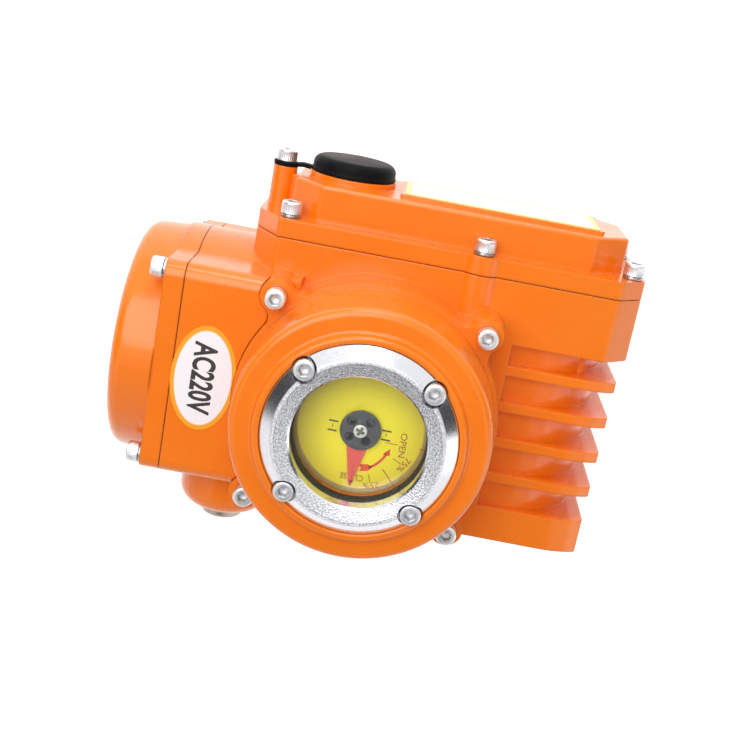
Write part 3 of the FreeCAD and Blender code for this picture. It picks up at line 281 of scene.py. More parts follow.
def bezelMaterial():
    # chromium over a zinc casting: coarse cast grain on the inner band, a smoother bright outer bevel;
    # the relief is the product of a rise at the bore and a fall at the bevel, the pits are thresholded specks
    # darkened as painted shade for their micro-shadows
    made, tree, shader, where, mix, relief = baseMaterial(
        "chromedZincCasting", tones=("e4e5ea", "eeeff3"), rough=(0.14, 0.22), grain=1.2, bumpGrain=0.75,
        bump=0.14, metallic=1)
    b = bezelCasting
    reach = reachOf(tree, where)
    outside = ramp(tree, reach, metres(*b["bevelSpan"]), 1.0, b["bevelRelief"])
    wall = ramp(tree, reach, metres(*b["boreSpan"]), b["boreRelief"], 1.0)
    amount = addNode(tree, "ShaderNodeMath", {0: outside, 1: wall}, operation="MULTIPLY")
    tree.links.new(amount.outputs[0], relief.inputs["Strength"])
    specks = addNode(tree, "ShaderNodeTexNoise", {"Vector": where.outputs["Object"], "Scale": b["speckScale"],
                                                  "Detail": b["speckDetail"]})
    # painted shade: thresholded specks darken the tone to stand in for shadow inside the cast pits
    pits = ramp(tree, specks.outputs["Fac"], b["speckSpan"], b["pitShadeTone"])
    shade = addNode(tree, "ShaderNodeMix", {0: amount.outputs[0], 2: 1.0, 3: pits})
    tone = addNode(tree, "ShaderNodeVectorMath", {0: mix.outputs[2], "Scale": shade.outputs[0]},
                   operation="SCALE")
    tree.links.new(tone.outputs["Vector"], shader.inputs["Base Color"])  # painted shade: the cast pits are darker than the land
    rise = ramp(tree, reach, metres(*b["ridgeRise"]), 0.0, b["ridgeRough"])
    fall = ramp(tree, reach, metres(*b["ridgeFall"]), 1.0, 0.0)
    ridge = addNode(tree, "ShaderNodeMath", {0: rise, 1: fall}, operation="MULTIPLY")
    polish = addNode(tree, "ShaderNodeMath", {0: shader.inputs["Roughness"].links[0].from_socket,
                                              1: ridge.outputs[0]}, operation="MAXIMUM")
    tree.links.new(polish.outputs[0], shader.inputs["Roughness"])  # the ridge of band and bevel is duller
    return made


windowGlass = {"tone": "f6faf4", "shadowTone": "f2f6f0", "bend": 1.5, "hazeScale": 120.0, "hazeDetail": 2.0,
               "haze": 0.02}


def glassMaterial():
    # polished float glass, clear with a faint green edge; shadow rays pass it, so lamps light the dial below
    g = windowGlass
    made = bpy.data.materials.new("polishedWindowGlass")
    made.use_nodes = True
    tree = made.node_tree
    shader = tree.nodes["Principled BSDF"]
    shader.inputs["Base Color"].default_value = toLinear(g["tone"])
    shader.inputs["Transmission Weight"].default_value = 1.0
    shader.inputs["IOR"].default_value = g["bend"]
    where = addNode(tree, "ShaderNodeTexCoord")
    haze = addNode(tree, "ShaderNodeTexNoise", {"Vector": where.outputs["Object"], "Scale": g["hazeScale"],
                                                "Detail": g["hazeDetail"]})
    tree.links.new(ramp(tree, haze.outputs["Fac"], (0.0, 1.0), 0.0, g["haze"]), shader.inputs["Roughness"])
    path = addNode(tree, "ShaderNodeLightPath")
    clear = addNode(tree, "ShaderNodeBsdfTransparent", {"Color": toLinear(g["shadowTone"])})
    through = addNode(tree, "ShaderNodeMixShader", {0: path.outputs["Is Shadow Ray"],
                                                    1: shader.outputs["BSDF"], 2: clear.outputs["BSDF"]})
    tree.links.new(through.outputs[0], tree.nodes["Material Output"].inputs["Surface"])
    return made


# the last tone and span are painted shade: a brown-grey ring at the rim of the dial
dialFilm = {"inner": "f6df10", "outer": "e8d016", "deepen": (14.0, 27.0), "rimShadeTone": "a48c54",
            "edge": (28.7, 29.6)}  # spans are radii in millimetres


def dialMaterial():
    # screen-printed yellow dial: the tone goes from inner to outer with the radius, then to a brown-grey ring
    # of painted shade at the rim, where the gasket shades the dial
    d = dialFilm
    made, tree, shader, where, mix, relief = baseMaterial(
        "printedYellowDial", tones=(d["inner"], d["outer"]), rough=(0.4, 0.5), grain=12, bumpGrain=0.8,
        bump=0.004)
    reach = reachOf(tree, where)
    blend = addNode(tree, "ShaderNodeMix", {0: ramp(tree, reach, metres(*d["deepen"])),
                                            6: toLinear(d["inner"]), 7: toLinear(d["outer"])},
                    data_type="RGBA")
    # painted shade: the rim of the dial darkens to brown-grey
    rimShaded = addNode(tree, "ShaderNodeMix", {0: ramp(tree, reach, metres(*d["edge"])), 6: blend.outputs[2],
                                            7: toLinear(d["rimShadeTone"])}, data_type="RGBA")
    tree.links.new(rimShaded.outputs[2], shader.inputs["Base Color"])
    return made


pointerOpacity = 0.86


def pointerMaterial():  # injection-moulded translucent acrylic, salmon red over the yellow dial
    made, tree, shader, where, mix, relief = baseMaterial(
        "translucentRedAcrylic", tones=("ee4f4a", "f25a52"), rough=(0.14, 0.2), grain=9, bumpGrain=1.0,
        bump=0.002, coat=0.3)
    shader.inputs["Alpha"].default_value = pointerOpacity
    return made


labelFilm = {"halfX": 13.4, "halfY": 23.2, "centre": (-78, 3, 0), "edge": 0.03, "border": "f6a51e"}


def labelMaterial():
    # printed oval film: its border starts where the length of (offset over half sizes) passes one
    made, tree, shader, where, mix, relief = baseMaterial(
        "ovalVoltageFilm", tones=("f0eef4", "f5f4f8"), rough=(0.3, 0.38), grain=30, bumpGrain=1.6, bump=0.004,
        coat=0.25)
    f = labelFilm
    back = metres(*(-c for c in f["centre"]))
    shift = addNode(tree, "ShaderNodeVectorMath", {0: where.outputs["Object"], 1: back}, operation="ADD")
    oval = (1 / (f["halfX"] * mm), 1 / (f["halfY"] * mm), 0)
    scaled = addNode(tree, "ShaderNodeVectorMath", {0: shift.outputs["Vector"], 1: oval},
                     operation="MULTIPLY")
    far = addNode(tree, "ShaderNodeVectorMath", {0: scaled.outputs["Vector"]}, operation="LENGTH")
    rim = ramp(tree, far.outputs["Value"], (1.0, 1.0 + f["edge"]))
    blend = addNode(tree, "ShaderNodeMix", {0: rim, 6: mix.outputs[2], 7: toLinear(f["border"])},
                    data_type="RGBA")
    tree.links.new(blend.outputs[2], shader.inputs["Base Color"])
    return made


plateFilm = {"halfX": 45.0, "halfZ": 17.5, "centreX": 48.0, "centreZ": 65.5, "border": "f2dd7c"}


def plateMaterial():
    # printed plate in the XZ plane: a white field, and the border where either offset passes its half size
    made, tree, shader, where, mix, relief = baseMaterial(
        "printedDataPlate", tones=("f1f0ea", "f7f6f1"), rough=(0.3, 0.4), grain=30, bumpGrain=1.6, bump=0.004,
        coat=0.2)
    p = plateFilm
    shift = addNode(tree, "ShaderNodeVectorMath", {0: where.outputs["Object"],
                                                   1: metres(-p["centreX"], 0, -p["centreZ"])},
                    operation="ADD")
    size = addNode(tree, "ShaderNodeVectorMath", {0: shift.outputs["Vector"]}, operation="ABSOLUTE")
    apart = addNode(tree, "ShaderNodeSeparateXYZ", {"Vector": size.outputs["Vector"]})
    overX = addNode(tree, "ShaderNodeMath", {0: apart.outputs["X"], 1: p["halfX"] * mm},
                    operation="GREATER_THAN")
    overZ = addNode(tree, "ShaderNodeMath", {0: apart.outputs["Z"], 1: p["halfZ"] * mm},
                    operation="GREATER_THAN")
    rim = addNode(tree, "ShaderNodeMath", {0: overX.outputs[0], 1: overZ.outputs[0]}, operation="MAXIMUM")
    blend = addNode(tree, "ShaderNodeMix", {0: rim.outputs[0], 6: mix.outputs[2], 7: toLinear(p["border"])},
                    data_type="RGBA")
    tree.links.new(blend.outputs[2], shader.inputs["Base Color"])
    return made


materials["chromedZincCasting"] = bezelMaterial()
materials["polishedWindowGlass"] = glassMaterial()
materials["printedYellowDial"] = dialMaterial()
materials["translucentRedAcrylic"] = pointerMaterial()
materials["ovalVoltageFilm"] = labelMaterial()
materials["printedDataPlate"] = plateMaterial()
print("materials made:", len(materials))

nodeFinish = {
    "glossOrangeEnamel": ["main_housing", "gear_cover", "terminal_end_cover", "dial_cap"],
    "chromedZincCasting": ["window_bezel"],
    "polishedWindowGlass": ["window_glass"],
    "gasketRubber": ["window_gaskets", "output_seal", "hand_drive_seal"],
    "fibreGasket": ["dial_cap_gasket", "gear_cover_gasket", "end_cover_gasket"],
    "printedYellowDial": ["dial_plate"],
    "translucentRedAcrylic": ["pointer"],
    "groundSteel": ["dial_posts", "worm_shaft", "worm_gear", "worm_bearings", "idler_pins", "first_idler",
                    "second_idler", "rotor_shaft", "motor_bearings", "output_shaft"],
    "machinedBronze": ["worm_wheel", "output_bushes"],
    "whiteNylon": ["switch_cams", "terminal_block", "run_capacitor"],
    "blackPhenolic": ["micro_switches"],
    "zincPlatedSteel": ["switch_bracket", "gear_plate", "capacitor_clip"],
    "castAluminium": ["bearing_plate"],
    "darkSteelLamination": ["rotor_core", "stator_core"],
    "varnishedCopper": ["stator_windings"],
    "nickelPlug": ["entry_plug"],
    "ovalVoltageFilm": ["voltage_label"],
    "printedDataPlate": ["data_plate"],
    "mouldedRubber": ["rubber_cap", "cap_strap"],
    "greyHubPlastic": ["pointer_hub"],
}
finishOf = {node: finish for finish, nodes in nodeFinish.items() for node in nodes}
for nodeName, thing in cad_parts.items():
    thing.data.materials.clear()
    thing.data.materials.append(materials[finishOf.get(nodeName, "stainlessScrew")])
print("CAD nodes dressed")


capScrew = {"headRadius": 5.0, "headHeight": 6.0, "shankRadius": 3.0, "keyHalfWidth": 2.5, "keyDepth": 3.4,
            "tip": 0.5, "under": (0.3, 0.25), "knurlRows": (0.6, 0.9, 4.6, 4.9), "knurlTeeth": 32,
            "knurlDepth": 0.035, "crown": ((0.07, 0.75), (0.2, 0.4), (0.4, 0.15), (0.65, 0.0), (1.7, 0.0)),
            "keyEdge": 0.12, "keyFloor": ((1.4, 0.1), (0.0, 0.8)), "columns": 192, "gap": 0.02, "apart": 11.0,
            "firstTurn": 17, "nextTurn": 41, "sharp": 38}


def screwGrid(length):
    # rows climb the shank and head and go down into the hexagon; the knurl scales the radius by one less its
    # depth times a raised cosine wave, the hexagon by one over the cosine of the angle from a flat's middle
    s = capScrew
    head, tall, shank, key = s["headRadius"], s["headHeight"], s["shankRadius"], s["keyHalfWidth"]
    low = [(0, -length), (shank - s["tip"], -length), (shank, s["tip"] - length), (shank, 0.0),
           (head - s["under"][0], 0.0), (head, s["under"][1])]
    knurled = [(head, h) for h in s["knurlRows"]]
    top = [(head - inset, tall - drop) for inset, drop in s["crown"]]
    socket = [(key + s["keyEdge"], tall), (key, tall - s["keyEdge"]), (key, tall - s["keyDepth"])]
    end = [(radius, tall - s["keyDepth"] - drop) for radius, drop in s["keyFloor"]]
    profile = np.array(low + knurled + top + socket + end)
    angle = np.linspace(0, 2 * np.pi, s["columns"], endpoint=False)
    points = turnedGrid(profile, s["columns"])
    ripple = 1 - s["knurlDepth"] * (0.5 + 0.5 * np.cos(s["knurlTeeth"] * angle))
    hexagon = 1 / np.cos((angle + np.pi / 6) % (np.pi / 3) - np.pi / 6)
    first = len(low)
    points[first + 1:first + 3, :, :2] *= ripple[None, :, None]  # the two middle rows of the knurl
    first += len(knurled) + len(top)
    points[first:first + len(socket), :, :2] *= hexagon[None, :, None]
    return points


def screwPiece(name, seats, axis, length):  # one screw copied to each seat; each stops at its own angle
    shape = screwGrid(length)
    faces = gridFaces(shape.shape[0], shape.shape[1])
    parts = []
    for k, seat in enumerate(seats):
        spin = aboutZ(capScrew["firstTurn"] + capScrew["nextTurn"] * k)
        parts.append((alongAxis(shape.reshape(-1, 3) @ spin.T, seat, axis), faces))
    return meshPiece(name, *joinParts(parts), materials["stainlessScrew"], "actuator_body",
                     sharp=capScrew["sharp"], slotName="stainless_steel")


springWasher = {"inner": 3.35, "outer": 4.9, "thickness": 1.42, "round": 0.25, "slit": 0.06, "climb": 0.15,
                "columns": 60, "firstTurn": 200, "nextTurn": 70, "below": 1.59}  # slit in radians


def washerPiece(name, seats, axis):
    # a rounded square section swept round one turn, climbing 0.15 mm so that its two ends stand apart
    w = springWasher
    section = roundedSection(w["inner"], w["outer"], 0.0, w["thickness"], w["round"])
    angle = np.linspace(w["slit"], 2 * np.pi - w["slit"], w["columns"])
    radius, height = section[:, 0], section[:, 1]
    climb = w["climb"] * angle[:, None] / (2 * np.pi)
    ring = np.stack([radius[None] * np.cos(angle)[:, None], radius[None] * np.sin(angle)[:, None],
                     height[None] + climb], -1)
    n = len(section)
    faces = [tuple(f) for f in gridFaces(w["columns"], n, True, False)]
    faces += [tuple(range(n))[::-1], tuple(range((w["columns"] - 1) * n, w["columns"] * n))]
    parts = []
    for k, seat in enumerate(seats):
        spin = aboutZ(w["nextTurn"] * k + w["firstTurn"])
        parts.append((alongAxis(ring.reshape(-1, 3) @ spin.T, seat, axis), faces))
    return meshPiece(name, *joinParts(parts), materials["springSteelWasher"], "actuator_body",
                     slotName="stainless_steel")


def centres(nodeName, axis):
    # (seat, shank length) of each screw in a node: a screw is every vertex within reach of its first one,
    # across the axis, and its seat is the middle of its box, one head's height below the top
    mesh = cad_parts[nodeName].data
    co = np.zeros(len(mesh.vertices) * 3)
    mesh.vertices.foreach_get("co", co)
    co = co.reshape(-1, 3) / mm
    along = int(np.argmax(np.abs(axis)))
    across = [k for k in range(3) if k != along]
    tall = capScrew["headHeight"]
    found = []
    while len(co):
        near = np.hypot(*(co[:, across] - co[0, across]).T) < capScrew["apart"]
        low, high = co[near].min(0), co[near].max(0)
        co = co[~near]
        seat = (low + high) / 2
        seat[along] = high[along] - tall if axis[along] > 0 else low[along] + tall
        found.append((seat, high[along] - low[along] - tall))
    return found


screwAxes = {"dial_cap_screws": (0, 0, 1), "bezel_screws": (0, 0, 1), "gear_cover_screws": (0, 1, 0),
             "strap_screw": (0, 1, 0), "end_cover_screws": (-1, 0, 0)}
for node, axis in screwAxes.items():
    found = centres(node, axis)
    length = found[0][1] - capScrew["gap"]
    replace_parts(screwPiece(node + "Detail", [f[0] for f in found], axis, length), node)
    washers = node.replace("_screws", "_spring_washers")
    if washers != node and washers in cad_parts:
        under = [f[0] - springWasher["below"] * np.array(axis) for f in found]
        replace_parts(washerPiece(washers + "Detail", under, axis), washers)
print("screws and washers made")


dialHigh = np.array(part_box("dial_plate")[1]) / mm
dialPrint = {  # words are (text, height, length, place, turn); lines are (start, end, width)
    "lift": 0.01, "thickness": 0.06, "bolder": 0.004,
    "lettering": [("OPEN", 3.1, 11.8, (20.4, -4.0), -88), ("75%", 3.0, 7.6, (22.6, -13.4), -120),
                  ("25%", 3.0, 7.6, (9.5, -26.3), -164), ("CLOSE", 2.9, 11.0, (-0.2, -23.8), -180)],
    "strokes": [((12.3, -4.15), (18.2, -4.2), 0.4), ((17.2, -11.2), (20.9, -12.9), 0.4),
                ((13.3, -17.2), (20.3, -24.8), 0.42), ((7.5, -21.1), (8.6, -24.6), 0.4),
                ((-0.3, -16.2), (-0.1, -19.8), 0.4), ((28.0, -4.3), (31.6, -4.4), 0.4),
                ((26.8, -14.9), (28.9, -16.1), 0.4)],
    "bars": [((-15.0, 1.7), (-10.8, 1.65), 0.75), ((-15.0, -2.9), (-10.8, -2.95), 0.75),
             ((-12.9, 0.3), (-12.9, -1.3), 0.4), ((9.7, 1.5), (14.1, 1.45), 0.75),
             ((9.8, -2.9), (14.2, -2.95), 0.75), ((11.9, 0.1), (11.9, -1.2), 0.4)],
    "arrow": {"tail": [(2.0, -17.0), (3.4, -18.6), (2.8, -20.4), (6.9, -19.4), (8.6, -17.2), (6.4, -16.2)],
              "shaft": [(7.0, -17.6), (11.2, -15.4), (13.8, -9.6)], "width": 1.2, "steps": 24,
              "head": [(12.0, -9.9), (15.4, -10.4), (15.0, -6.8)]},
    "pointerLine": ((-0.18, -16.5), (-0.1, -27.4), 0.35),
    "pointerHead": [(-1.3, -25.0), (0.9, -25.0), (-0.1, -28.0)],
}
inkZ, inkThick = dialHigh[2] + dialPrint["lift"], dialPrint["thickness"]


def strokePlate(a, b, width):  # a straight ink line as a thin plate
    a, b = np.array(a), np.array(b)
    side = np.array([-(b - a)[1], (b - a)[0]]) / np.linalg.norm(b - a) * width / 2
    return flatPlate([a - side, b - side, b + side, a + side], inkZ, inkThick)


def arrowPlate():
    # a broad barbed tail, a shaft that is a band along a quadratic curve, and a head
    d = dialPrint["arrow"]
    t = np.linspace(0, 1, d["steps"])[:, None]
    p, q, r = (np.array(v) for v in d["shaft"])
    line = (1 - t) ** 2 * p + 2 * t * (1 - t) * q + t ** 2 * r
    along = np.gradient(line, axis=0)
    side = np.stack([-along[:, 1], along[:, 0]], -1) / np.linalg.norm(along, axis=1)[:, None] * d["width"] / 2
    shaft = flatPlate(np.vstack([line - side, (line + side)[::-1]]), inkZ, inkThick)
    return joinParts([flatPlate(d["tail"], inkZ, inkThick), shaft, flatPlate(d["head"], inkZ, inkThick)])


words = [textPlate(text, tall, long, (*spot, inkZ + inkThick / 2), turn, inkThick, dialPrint["bolder"])
         for text, tall, long, spot, turn in dialPrint["lettering"]]
meshPiece("dialLettering", *joinParts(words), materials["brownInk"], "actuator_body", slotName="red_plastic")
meshPiece("dialStrokes", *joinParts([strokePlate(*s) for s in dialPrint["strokes"]]), materials["brownInk"],
          "actuator_body", slotName="red_plastic")
meshPiece("dialBars", *joinParts([strokePlate(*s) for s in dialPrint["bars"]]), materials["blackInk"],
          "actuator_body", slotName="black_plastic")
meshPiece("dialArrow", *arrowPlate(), materials["redInk"], "actuator_body", slotName="red_plastic")

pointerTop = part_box("pointer")[1][2] / mm + dialPrint["lift"]


def pointerMark():  # a fine line along the pointer with a small head, printed on its face
    line = strokePlate(*dialPrint["pointerLine"])
    head = flatPlate(dialPrint["pointerHead"], inkZ, inkThick)
    points, faces = joinParts([line, head])
    points[:, 2] += pointerTop - inkZ
    return meshPiece("pointerMark", points, faces, materials["darkRedInk"], "output_drive",
                     slotName="red_plastic")


pointerMark()

hub = {"radius": 9.5, "dimpleRadius": 2.5, "dimpleReach": 5.9, "dimpleDepth": 1.5,
       "turns": (48, 140, 220, 305), "steepness": 1.8, "rim": 0.4, "rimSteps": 5, "rings": 56, "columns": 200}


def hubPiece():
    # polar grid: height is the flat top less four smooth dimples, with a rounded rim
    low, high = (np.array(v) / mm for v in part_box("pointer_hub"))
    angle = np.linspace(0, 2 * np.pi, hub["columns"], endpoint=False)
    radius = np.linspace(0, hub["radius"] - hub["rim"], hub["rings"])
    r, a = np.meshgrid(radius, angle, indexing="ij")
    z = np.full_like(r, high[2])
    for spot in np.radians(hub["turns"]):
        away = np.hypot(r * np.cos(a) - hub["dimpleReach"] * np.cos(spot),
                        r * np.sin(a) - hub["dimpleReach"] * np.sin(spot))
        t = np.clip((1 - away / hub["dimpleRadius"]) * hub["steepness"], 0, 1)
        z -= hub["dimpleDepth"] * (3 * t ** 2 - 2 * t ** 3)
    top = np.stack([r * np.cos(a), r * np.sin(a), z], -1)
    corner = roundCorner((hub["radius"] - hub["rim"], high[2] - hub["rim"]), hub["rim"], 90, 0,
                         hub["rimSteps"])
    rim = turnedGrid(corner[1:].tolist() + [(hub["radius"], low[2]), (0, low[2])], hub["columns"])
    points = np.vstack([top, rim])
    piece = meshPiece("pointerHubDimpled", points, gridFaces(points.shape[0], hub["columns"]),
                      materials["greyHubPlastic"], "output_drive", slotName="dark_grey_plastic")
    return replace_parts(piece, "pointer_hub")


crossScrew = {"radius": 3.2, "shoulder": 0.5, "dome": 3.05, "crown": 0.3, "turn": 24, "armHalf": 0.72,
              "armSlope": 0.2, "armReach": 2.2, "endSlope": 0.3, "armDepth": 0.9, "rings": 44, "columns": 128,
              "shadeSpan": (0.95, 0.40), "shade": 0.22}
crossFinish = dict(tones=("e6e0e0", "f2eeee"), metallic=1, rough=(0.30, 0.42), grain=2, bumpGrain=0.6,
                   bump=0.01)


def crossScrewMaterial(top):  # the plated head, its tone falling with depth in the cross recess as painted shade
    made, tree, shader, where, mix, relief = baseMaterial("platedCrossRecess", **crossFinish)
    apart = addNode(tree, "ShaderNodeSeparateXYZ", {"Vector": where.outputs["Object"]})
    deep, shallow = crossScrew["shadeSpan"]
    depth = ramp(tree, apart.outputs["Z"], metres(top - deep, top - shallow), crossScrew["shade"])
    tone = addNode(tree, "ShaderNodeVectorMath", {0: mix.outputs[2], "Scale": depth}, operation="SCALE")
    tree.links.new(tone.outputs["Vector"], shader.inputs["Base Color"])
    return made


def crossScrewPiece():
    # domed head with a cross recess: an arm is where the smaller of |x| and |y| is under its half width and
    # the larger is within its reach; the dome falls with the square of the radius
    low, high = (np.array(v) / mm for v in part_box("hub_screw"))
    c = crossScrew
    angle = np.linspace(0, 2 * np.pi, c["columns"], endpoint=False)
    r, a = np.meshgrid(np.linspace(0, c["dome"], c["rings"]), angle, indexing="ij")
    turn = a + math.radians(c["turn"])
    x, y = np.abs(r * np.cos(turn)), np.abs(r * np.sin(turn))
    narrow = np.clip((c["armHalf"] - np.minimum(x, y)) / c["armSlope"], 0, 1)
    arm = narrow * np.clip((c["armReach"] - np.maximum(x, y)) / c["endSlope"], 0, 1)
    z = high[2] - c["crown"] * (r / c["dome"]) ** 2 - c["armDepth"] * arm
    top = np.stack([r * np.cos(a), r * np.sin(a), z], -1)
    side = [(c["radius"], high[2] - c["shoulder"]), (c["radius"], low[2]), (0, low[2])]
    rim = turnedGrid(side, c["columns"])
    points = np.vstack([top, rim])
    piece = meshPiece("hubCrossScrew", points, gridFaces(points.shape[0], c["columns"]),
                      crossScrewMaterial(high[2]), "output_drive", slotName="stainless_steel")
    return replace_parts(piece, "hub_screw")


hubPiece()
crossScrewPiece()
print("dial finished")


labelHigh = np.array(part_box("voltage_label")[1]) / mm
voltageMark = {"words": "AC220V", "height": 11.4, "length": 36.0, "centre": (-78.3, 3.0), "turn": -90,
               "lift": 0.02, "thickness": 0.04, "bolder": 0.03}
markPoints, markFaces = textPlate(voltageMark["words"], voltageMark["height"], voltageMark["length"],
                                  (*voltageMark["centre"], labelHigh[2] + voltageMark["lift"]),
                                  voltageMark["turn"], voltageMark["thickness"], voltageMark["bolder"])
meshPiece("voltageMark", markPoints, markFaces, materials["blackInk"], "actuator_body",
          slotName="black_plastic")
print("labels made")


rubberCap = {"radius": 21.1, "foot": ((0.6, 0.0), (0.12, 0.25), (0.0, 0.8), (0.0, 1.6)), "bead": 0.35,
             "lean": 0.4, "beadTop": (2.0, 2.4), "corner": 4.2, "cornerEnd": 84, "cornerSteps": 12,
             "crown": 0.5, "crownRadius": 16, "crownRows": (14, 11, 7, 3, 0), "wall": 1.6, "bore": 9.0,
             "lipRadius": 17.25, "lipDepth": 3.7, "columns": 128, "sharp": 50}


def rubberCapPiece():
    # profile: beaded foot, slightly leaning side, rounded corner, and a crown that falls with the square of
    # the radius; hollow below
    low, high = (np.array(v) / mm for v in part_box("rubber_cap"))
    tall = high[1] - low[1]
    c, r = rubberCap, rubberCap["radius"]
    side = [(c["lipRadius"], 0.0)] + [(r - inset, h) for inset, h in c["foot"]]
    side += [(r - c["bead"], c["beadTop"][0]), (r - c["lean"], c["beadTop"][1])]
    corner = roundCorner((r - c["lean"] - c["corner"], tall - c["crown"] - c["corner"]), c["corner"], 0,
                         c["cornerEnd"], c["cornerSteps"])
    crown = [(x, tall - c["crown"] * (x / c["crownRadius"]) ** 2) for x in c["crownRows"]]
    under = [(0, tall - c["wall"]), (c["bore"], tall - c["wall"]), (c["bore"], c["lipDepth"]),
             (c["lipRadius"], c["lipDepth"]), (c["lipRadius"], 0.0)]
    profile = np.array(side + corner.tolist() + crown + under)
    points = turnedGrid(profile, c["columns"])
    centre = ((low[0] + high[0]) / 2, low[1], (low[2] + high[2]) / 2)
    piece = meshPiece("handDriveCap", alongAxis(points, centre, (0, 1, 0)),
                      gridFaces(len(profile), c["columns"]), materials["mouldedRubber"], "hand_drive_cap",
                      sharp=c["sharp"], slotName="black_rubber")
    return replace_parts(piece, "rubber_cap")


strap = {"eyeReach": 6.0, "eyeInner": 3.3, "eyeOuter": 6.2, "eyeHeight": 2.45, "eyeRound": 0.6,
         "eyeColumns": 64, "eyeLift": 0.02, "start": 5.2, "lap": 0.3, "level": 1.22, "bow": 0.5,
         "halfWidth": 2.4, "halfHeight": 1.1, "round": 0.7, "rows": 24, "sharp": 50}


def strapPiece():
    # an eye turned round the screw, and a rounded strip that runs from the eye to the cap's side, with a bow
    # of half a sine wave
    low, high = (np.array(v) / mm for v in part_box("cap_strap"))
    capLow = np.array(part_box("rubber_cap")[0]) / mm
    s = strap
    x0, z0 = low[0] + s["eyeReach"], (low[2] + high[2]) / 2
    section = roundedSection(s["eyeInner"], s["eyeOuter"], 0.0, s["eyeHeight"], s["eyeRound"])
    eye = alongAxis(turnedGrid(section, s["eyeColumns"]), (x0, low[1] + s["eyeLift"], z0), (0, 1, 0))
    eyeFaces = [tuple(f) for f in gridFaces(len(section), s["eyeColumns"], True, True)]
    rows = s["rows"]
    t = np.linspace(0, 1, rows)
    endX = capLow[0] + s["lap"]
    x = x0 + s["start"] + (endX - x0 - s["start"]) * t
    y = low[1] + s["level"] + s["bow"] * np.sin(np.pi * t)
    loop = roundedSection(-s["halfWidth"], s["halfWidth"], -s["halfHeight"], s["halfHeight"], s["round"])
    n = len(loop)
    strip = np.stack([np.repeat(x[:, None], n, 1), y[:, None] + loop[None, :, 1],
                      z0 + np.repeat(loop[None, :, 0], rows, 0)], -1)
    stripFaces = [tuple(f) for f in gridFaces(rows, n)]
    stripFaces += [tuple(range(n))[::-1], tuple(range((rows - 1) * n, rows * n))]
    points, faces = joinParts([(eye, eyeFaces), (strip, stripFaces)])
    piece = meshPiece("capStrap", points, faces, materials["mouldedRubber"], None, sharp=s["sharp"],
                      slotName="black_rubber")
    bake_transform(piece)
    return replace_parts(piece, "cap_strap")


rubberCapPiece()
strapPiece()
print("rubber cap made")


photoCamera = {"place": (-0.0000315, 0.1937535, 0.6878758), "turn": (-16.46005, 3.41445, 10.18188),
               "lens": 61.677, "sensor": 36.0, "clip": (0.01, 20)}  # metres, degrees, lens and sensor in mm
camera = bpy.data.objects.new("photoCamera", bpy.data.cameras.new("photoCamera"))
bpy.context.scene.collection.objects.link(camera)
camera.location = photoCamera["place"]
camera.rotation_euler = [math.radians(a) for a in photoCamera["turn"]]
camera.data.sensor_width, camera.data.lens = photoCamera["sensor"], photoCamera["lens"]
camera.data.clip_start, camera.data.clip_end = photoCamera["clip"]
bpy.context.scene.camera = camera

lampAim = (0, 0, 0.08)  # metres
lamps = {"keyPanel": dict(place=(-0.30, 0.42, 0.92), size=0.85, power=5.6),
         "backPanel": dict(place=(-0.05, 0.98, 0.40), size=0.50, power=3.2),
         "sidePanel": dict(place=(0.85, -0.25, 0.45), size=0.50, power=1.0)}  # metres and watts
for name, panel in lamps.items():
    lamp = bpy.data.objects.new(name, bpy.data.lights.new(name, "AREA"))
    lamp.data.shape, lamp.data.size, lamp.data.energy = "DISK", panel["size"], panel["power"]
    lamp.location = panel["place"]
    lamp.rotation_euler = (Vector(lampAim) - Vector(panel["place"])).to_track_quat("-Z", "Y").to_euler()
    bpy.context.scene.collection.objects.link(lamp)

studio = {"bright": 1.02, "fillBase": 0.255, "fillShare": 0.30,
          "overheadGap": dict(towards=(0.0, -0.42, 0.91), outer=0.90, inner=0.975, share=0.18),
          "frontPanel": dict(towards=(0.0, -0.80, 0.60), outer=0.88, inner=0.97, share=0.75),
          "sideGaps": dict(towards=(0.91, 0.05, 0.42), outer=0.88, inner=0.96, share=0.05)}
world = bpy.data.worlds.new("softStudio")
bpy.context.scene.world = world
world.use_nodes = True
tree = world.node_tree
heading = addNode(tree, "ShaderNodeTexCoord")
parts = addNode(tree, "ShaderNodeSeparateXYZ", {"Vector": heading.outputs["Generated"]})
across = addNode(tree, "ShaderNodeMath", {0: parts.outputs["X"]}, operation="ABSOLUTE")
folded = addNode(tree, "ShaderNodeCombineXYZ", {"X": across.outputs[0], "Y": parts.outputs["Y"],
                                                "Z": parts.outputs["Z"]})


def tentGap(name, before):  # a darker patch of the white tent: its share grows with the cosine to its middle
    g = studio[name]
    facing = addNode(tree, "ShaderNodeVectorMath", {0: folded.outputs["Vector"], 1: g["towards"]},
                     operation="DOT_PRODUCT")
    patch = addNode(tree, "ShaderNodeMapRange", {"Value": facing.outputs["Value"], "From Min": g["outer"],
                                                 "From Max": g["inner"], "To Min": 1.0, "To Max": g["share"]},
                    interpolation_type="SMOOTHSTEP")
    return addNode(tree, "ShaderNodeMath", {0: before, 1: patch.outputs[0]}, operation="MULTIPLY").outputs[0]


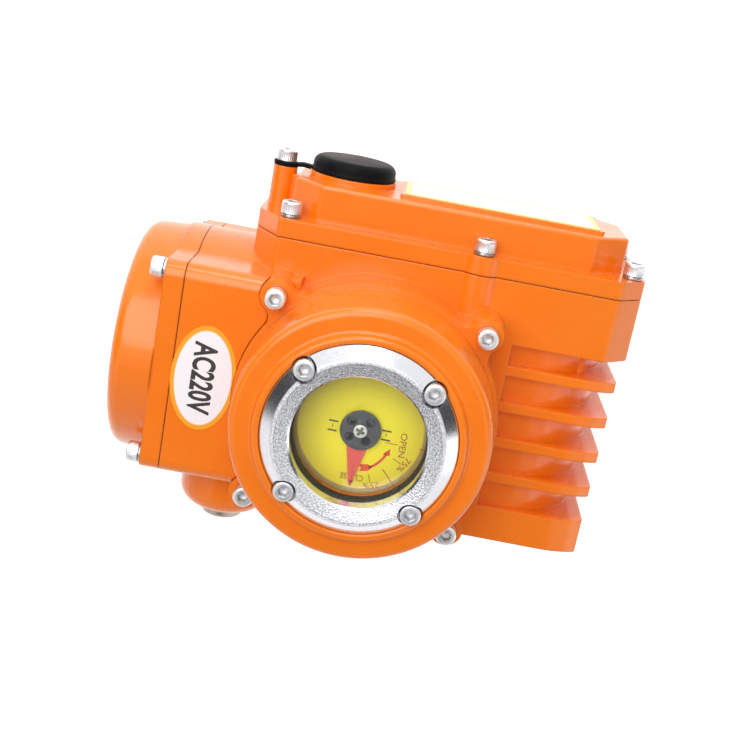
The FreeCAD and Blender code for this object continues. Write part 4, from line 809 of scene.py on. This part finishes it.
tent = tentGap("sideGaps", tentGap("frontPanel", studio["bright"]))
level = tentGap("overheadGap", tent)
fill = addNode(tree, "ShaderNodeMath", {0: tent, 1: studio["fillShare"], 2: studio["fillBase"]},
               operation="MULTIPLY_ADD")
path = addNode(tree, "ShaderNodeLightPath")
straight = addNode(tree, "ShaderNodeMath", {0: path.outputs["Is Camera Ray"],
                                            1: path.outputs["Is Transmission Ray"]}, operation="MAXIMUM")
soft = addNode(tree, "ShaderNodeMix", {0: path.outputs["Is Glossy Ray"], 2: fill.outputs[0], 3: level})
plain = addNode(tree, "ShaderNodeMix", {0: straight.outputs[0], 2: soft.outputs[0], 3: 1.0})
tree.links.new(plain.outputs[0], tree.nodes["Background"].inputs["Strength"])
tree.nodes["Background"].inputs["Color"].default_value = (1, 1, 1, 1)

sweep = {"half": 3, "drop": 0.0005, "tone": "f4f4f4", "rough": 0.9, "lift": 0.5}  # metres
h = sweep["half"]
floorMesh = bpy.data.meshes.new("studioFloor")
floorMesh.from_pydata([(-h, -h, 0), (h, -h, 0), (h, h, 0), (-h, h, 0)], [], [(0, 1, 2, 3)])
floor = bpy.data.objects.new("studioFloor", floorMesh)
floor.location.z = -sweep["drop"]
bpy.context.scene.collection.objects.link(floor)
white = bpy.data.materials.new("whiteSweep")
white.use_nodes = True
tree = white.node_tree
shader = tree.nodes["Principled BSDF"]
shader.inputs["Base Color"].default_value = toLinear(sweep["tone"])
shader.inputs["Roughness"].default_value = sweep["rough"]
path = addNode(tree, "ShaderNodeLightPath")
direct = addNode(tree, "ShaderNodeMath", {0: path.outputs["Is Camera Ray"],
                                          1: path.outputs["Is Transmission Ray"]}, operation="MAXIMUM")
shown = addNode(tree, "ShaderNodeMath", {0: direct.outputs[0], 1: path.outputs["Is Glossy Ray"]},
                operation="MAXIMUM")
lift = addNode(tree, "ShaderNodeMath", {0: shown.outputs[0], 1: sweep["lift"]}, operation="MULTIPLY")
shader.inputs["Emission Color"].default_value = (1, 1, 1, 1)
tree.links.new(lift.outputs[0], shader.inputs["Emission Strength"])
floorMesh.materials.append(white)
bpy.context.scene.view_settings.view_transform = "Standard"
print("studio ready")
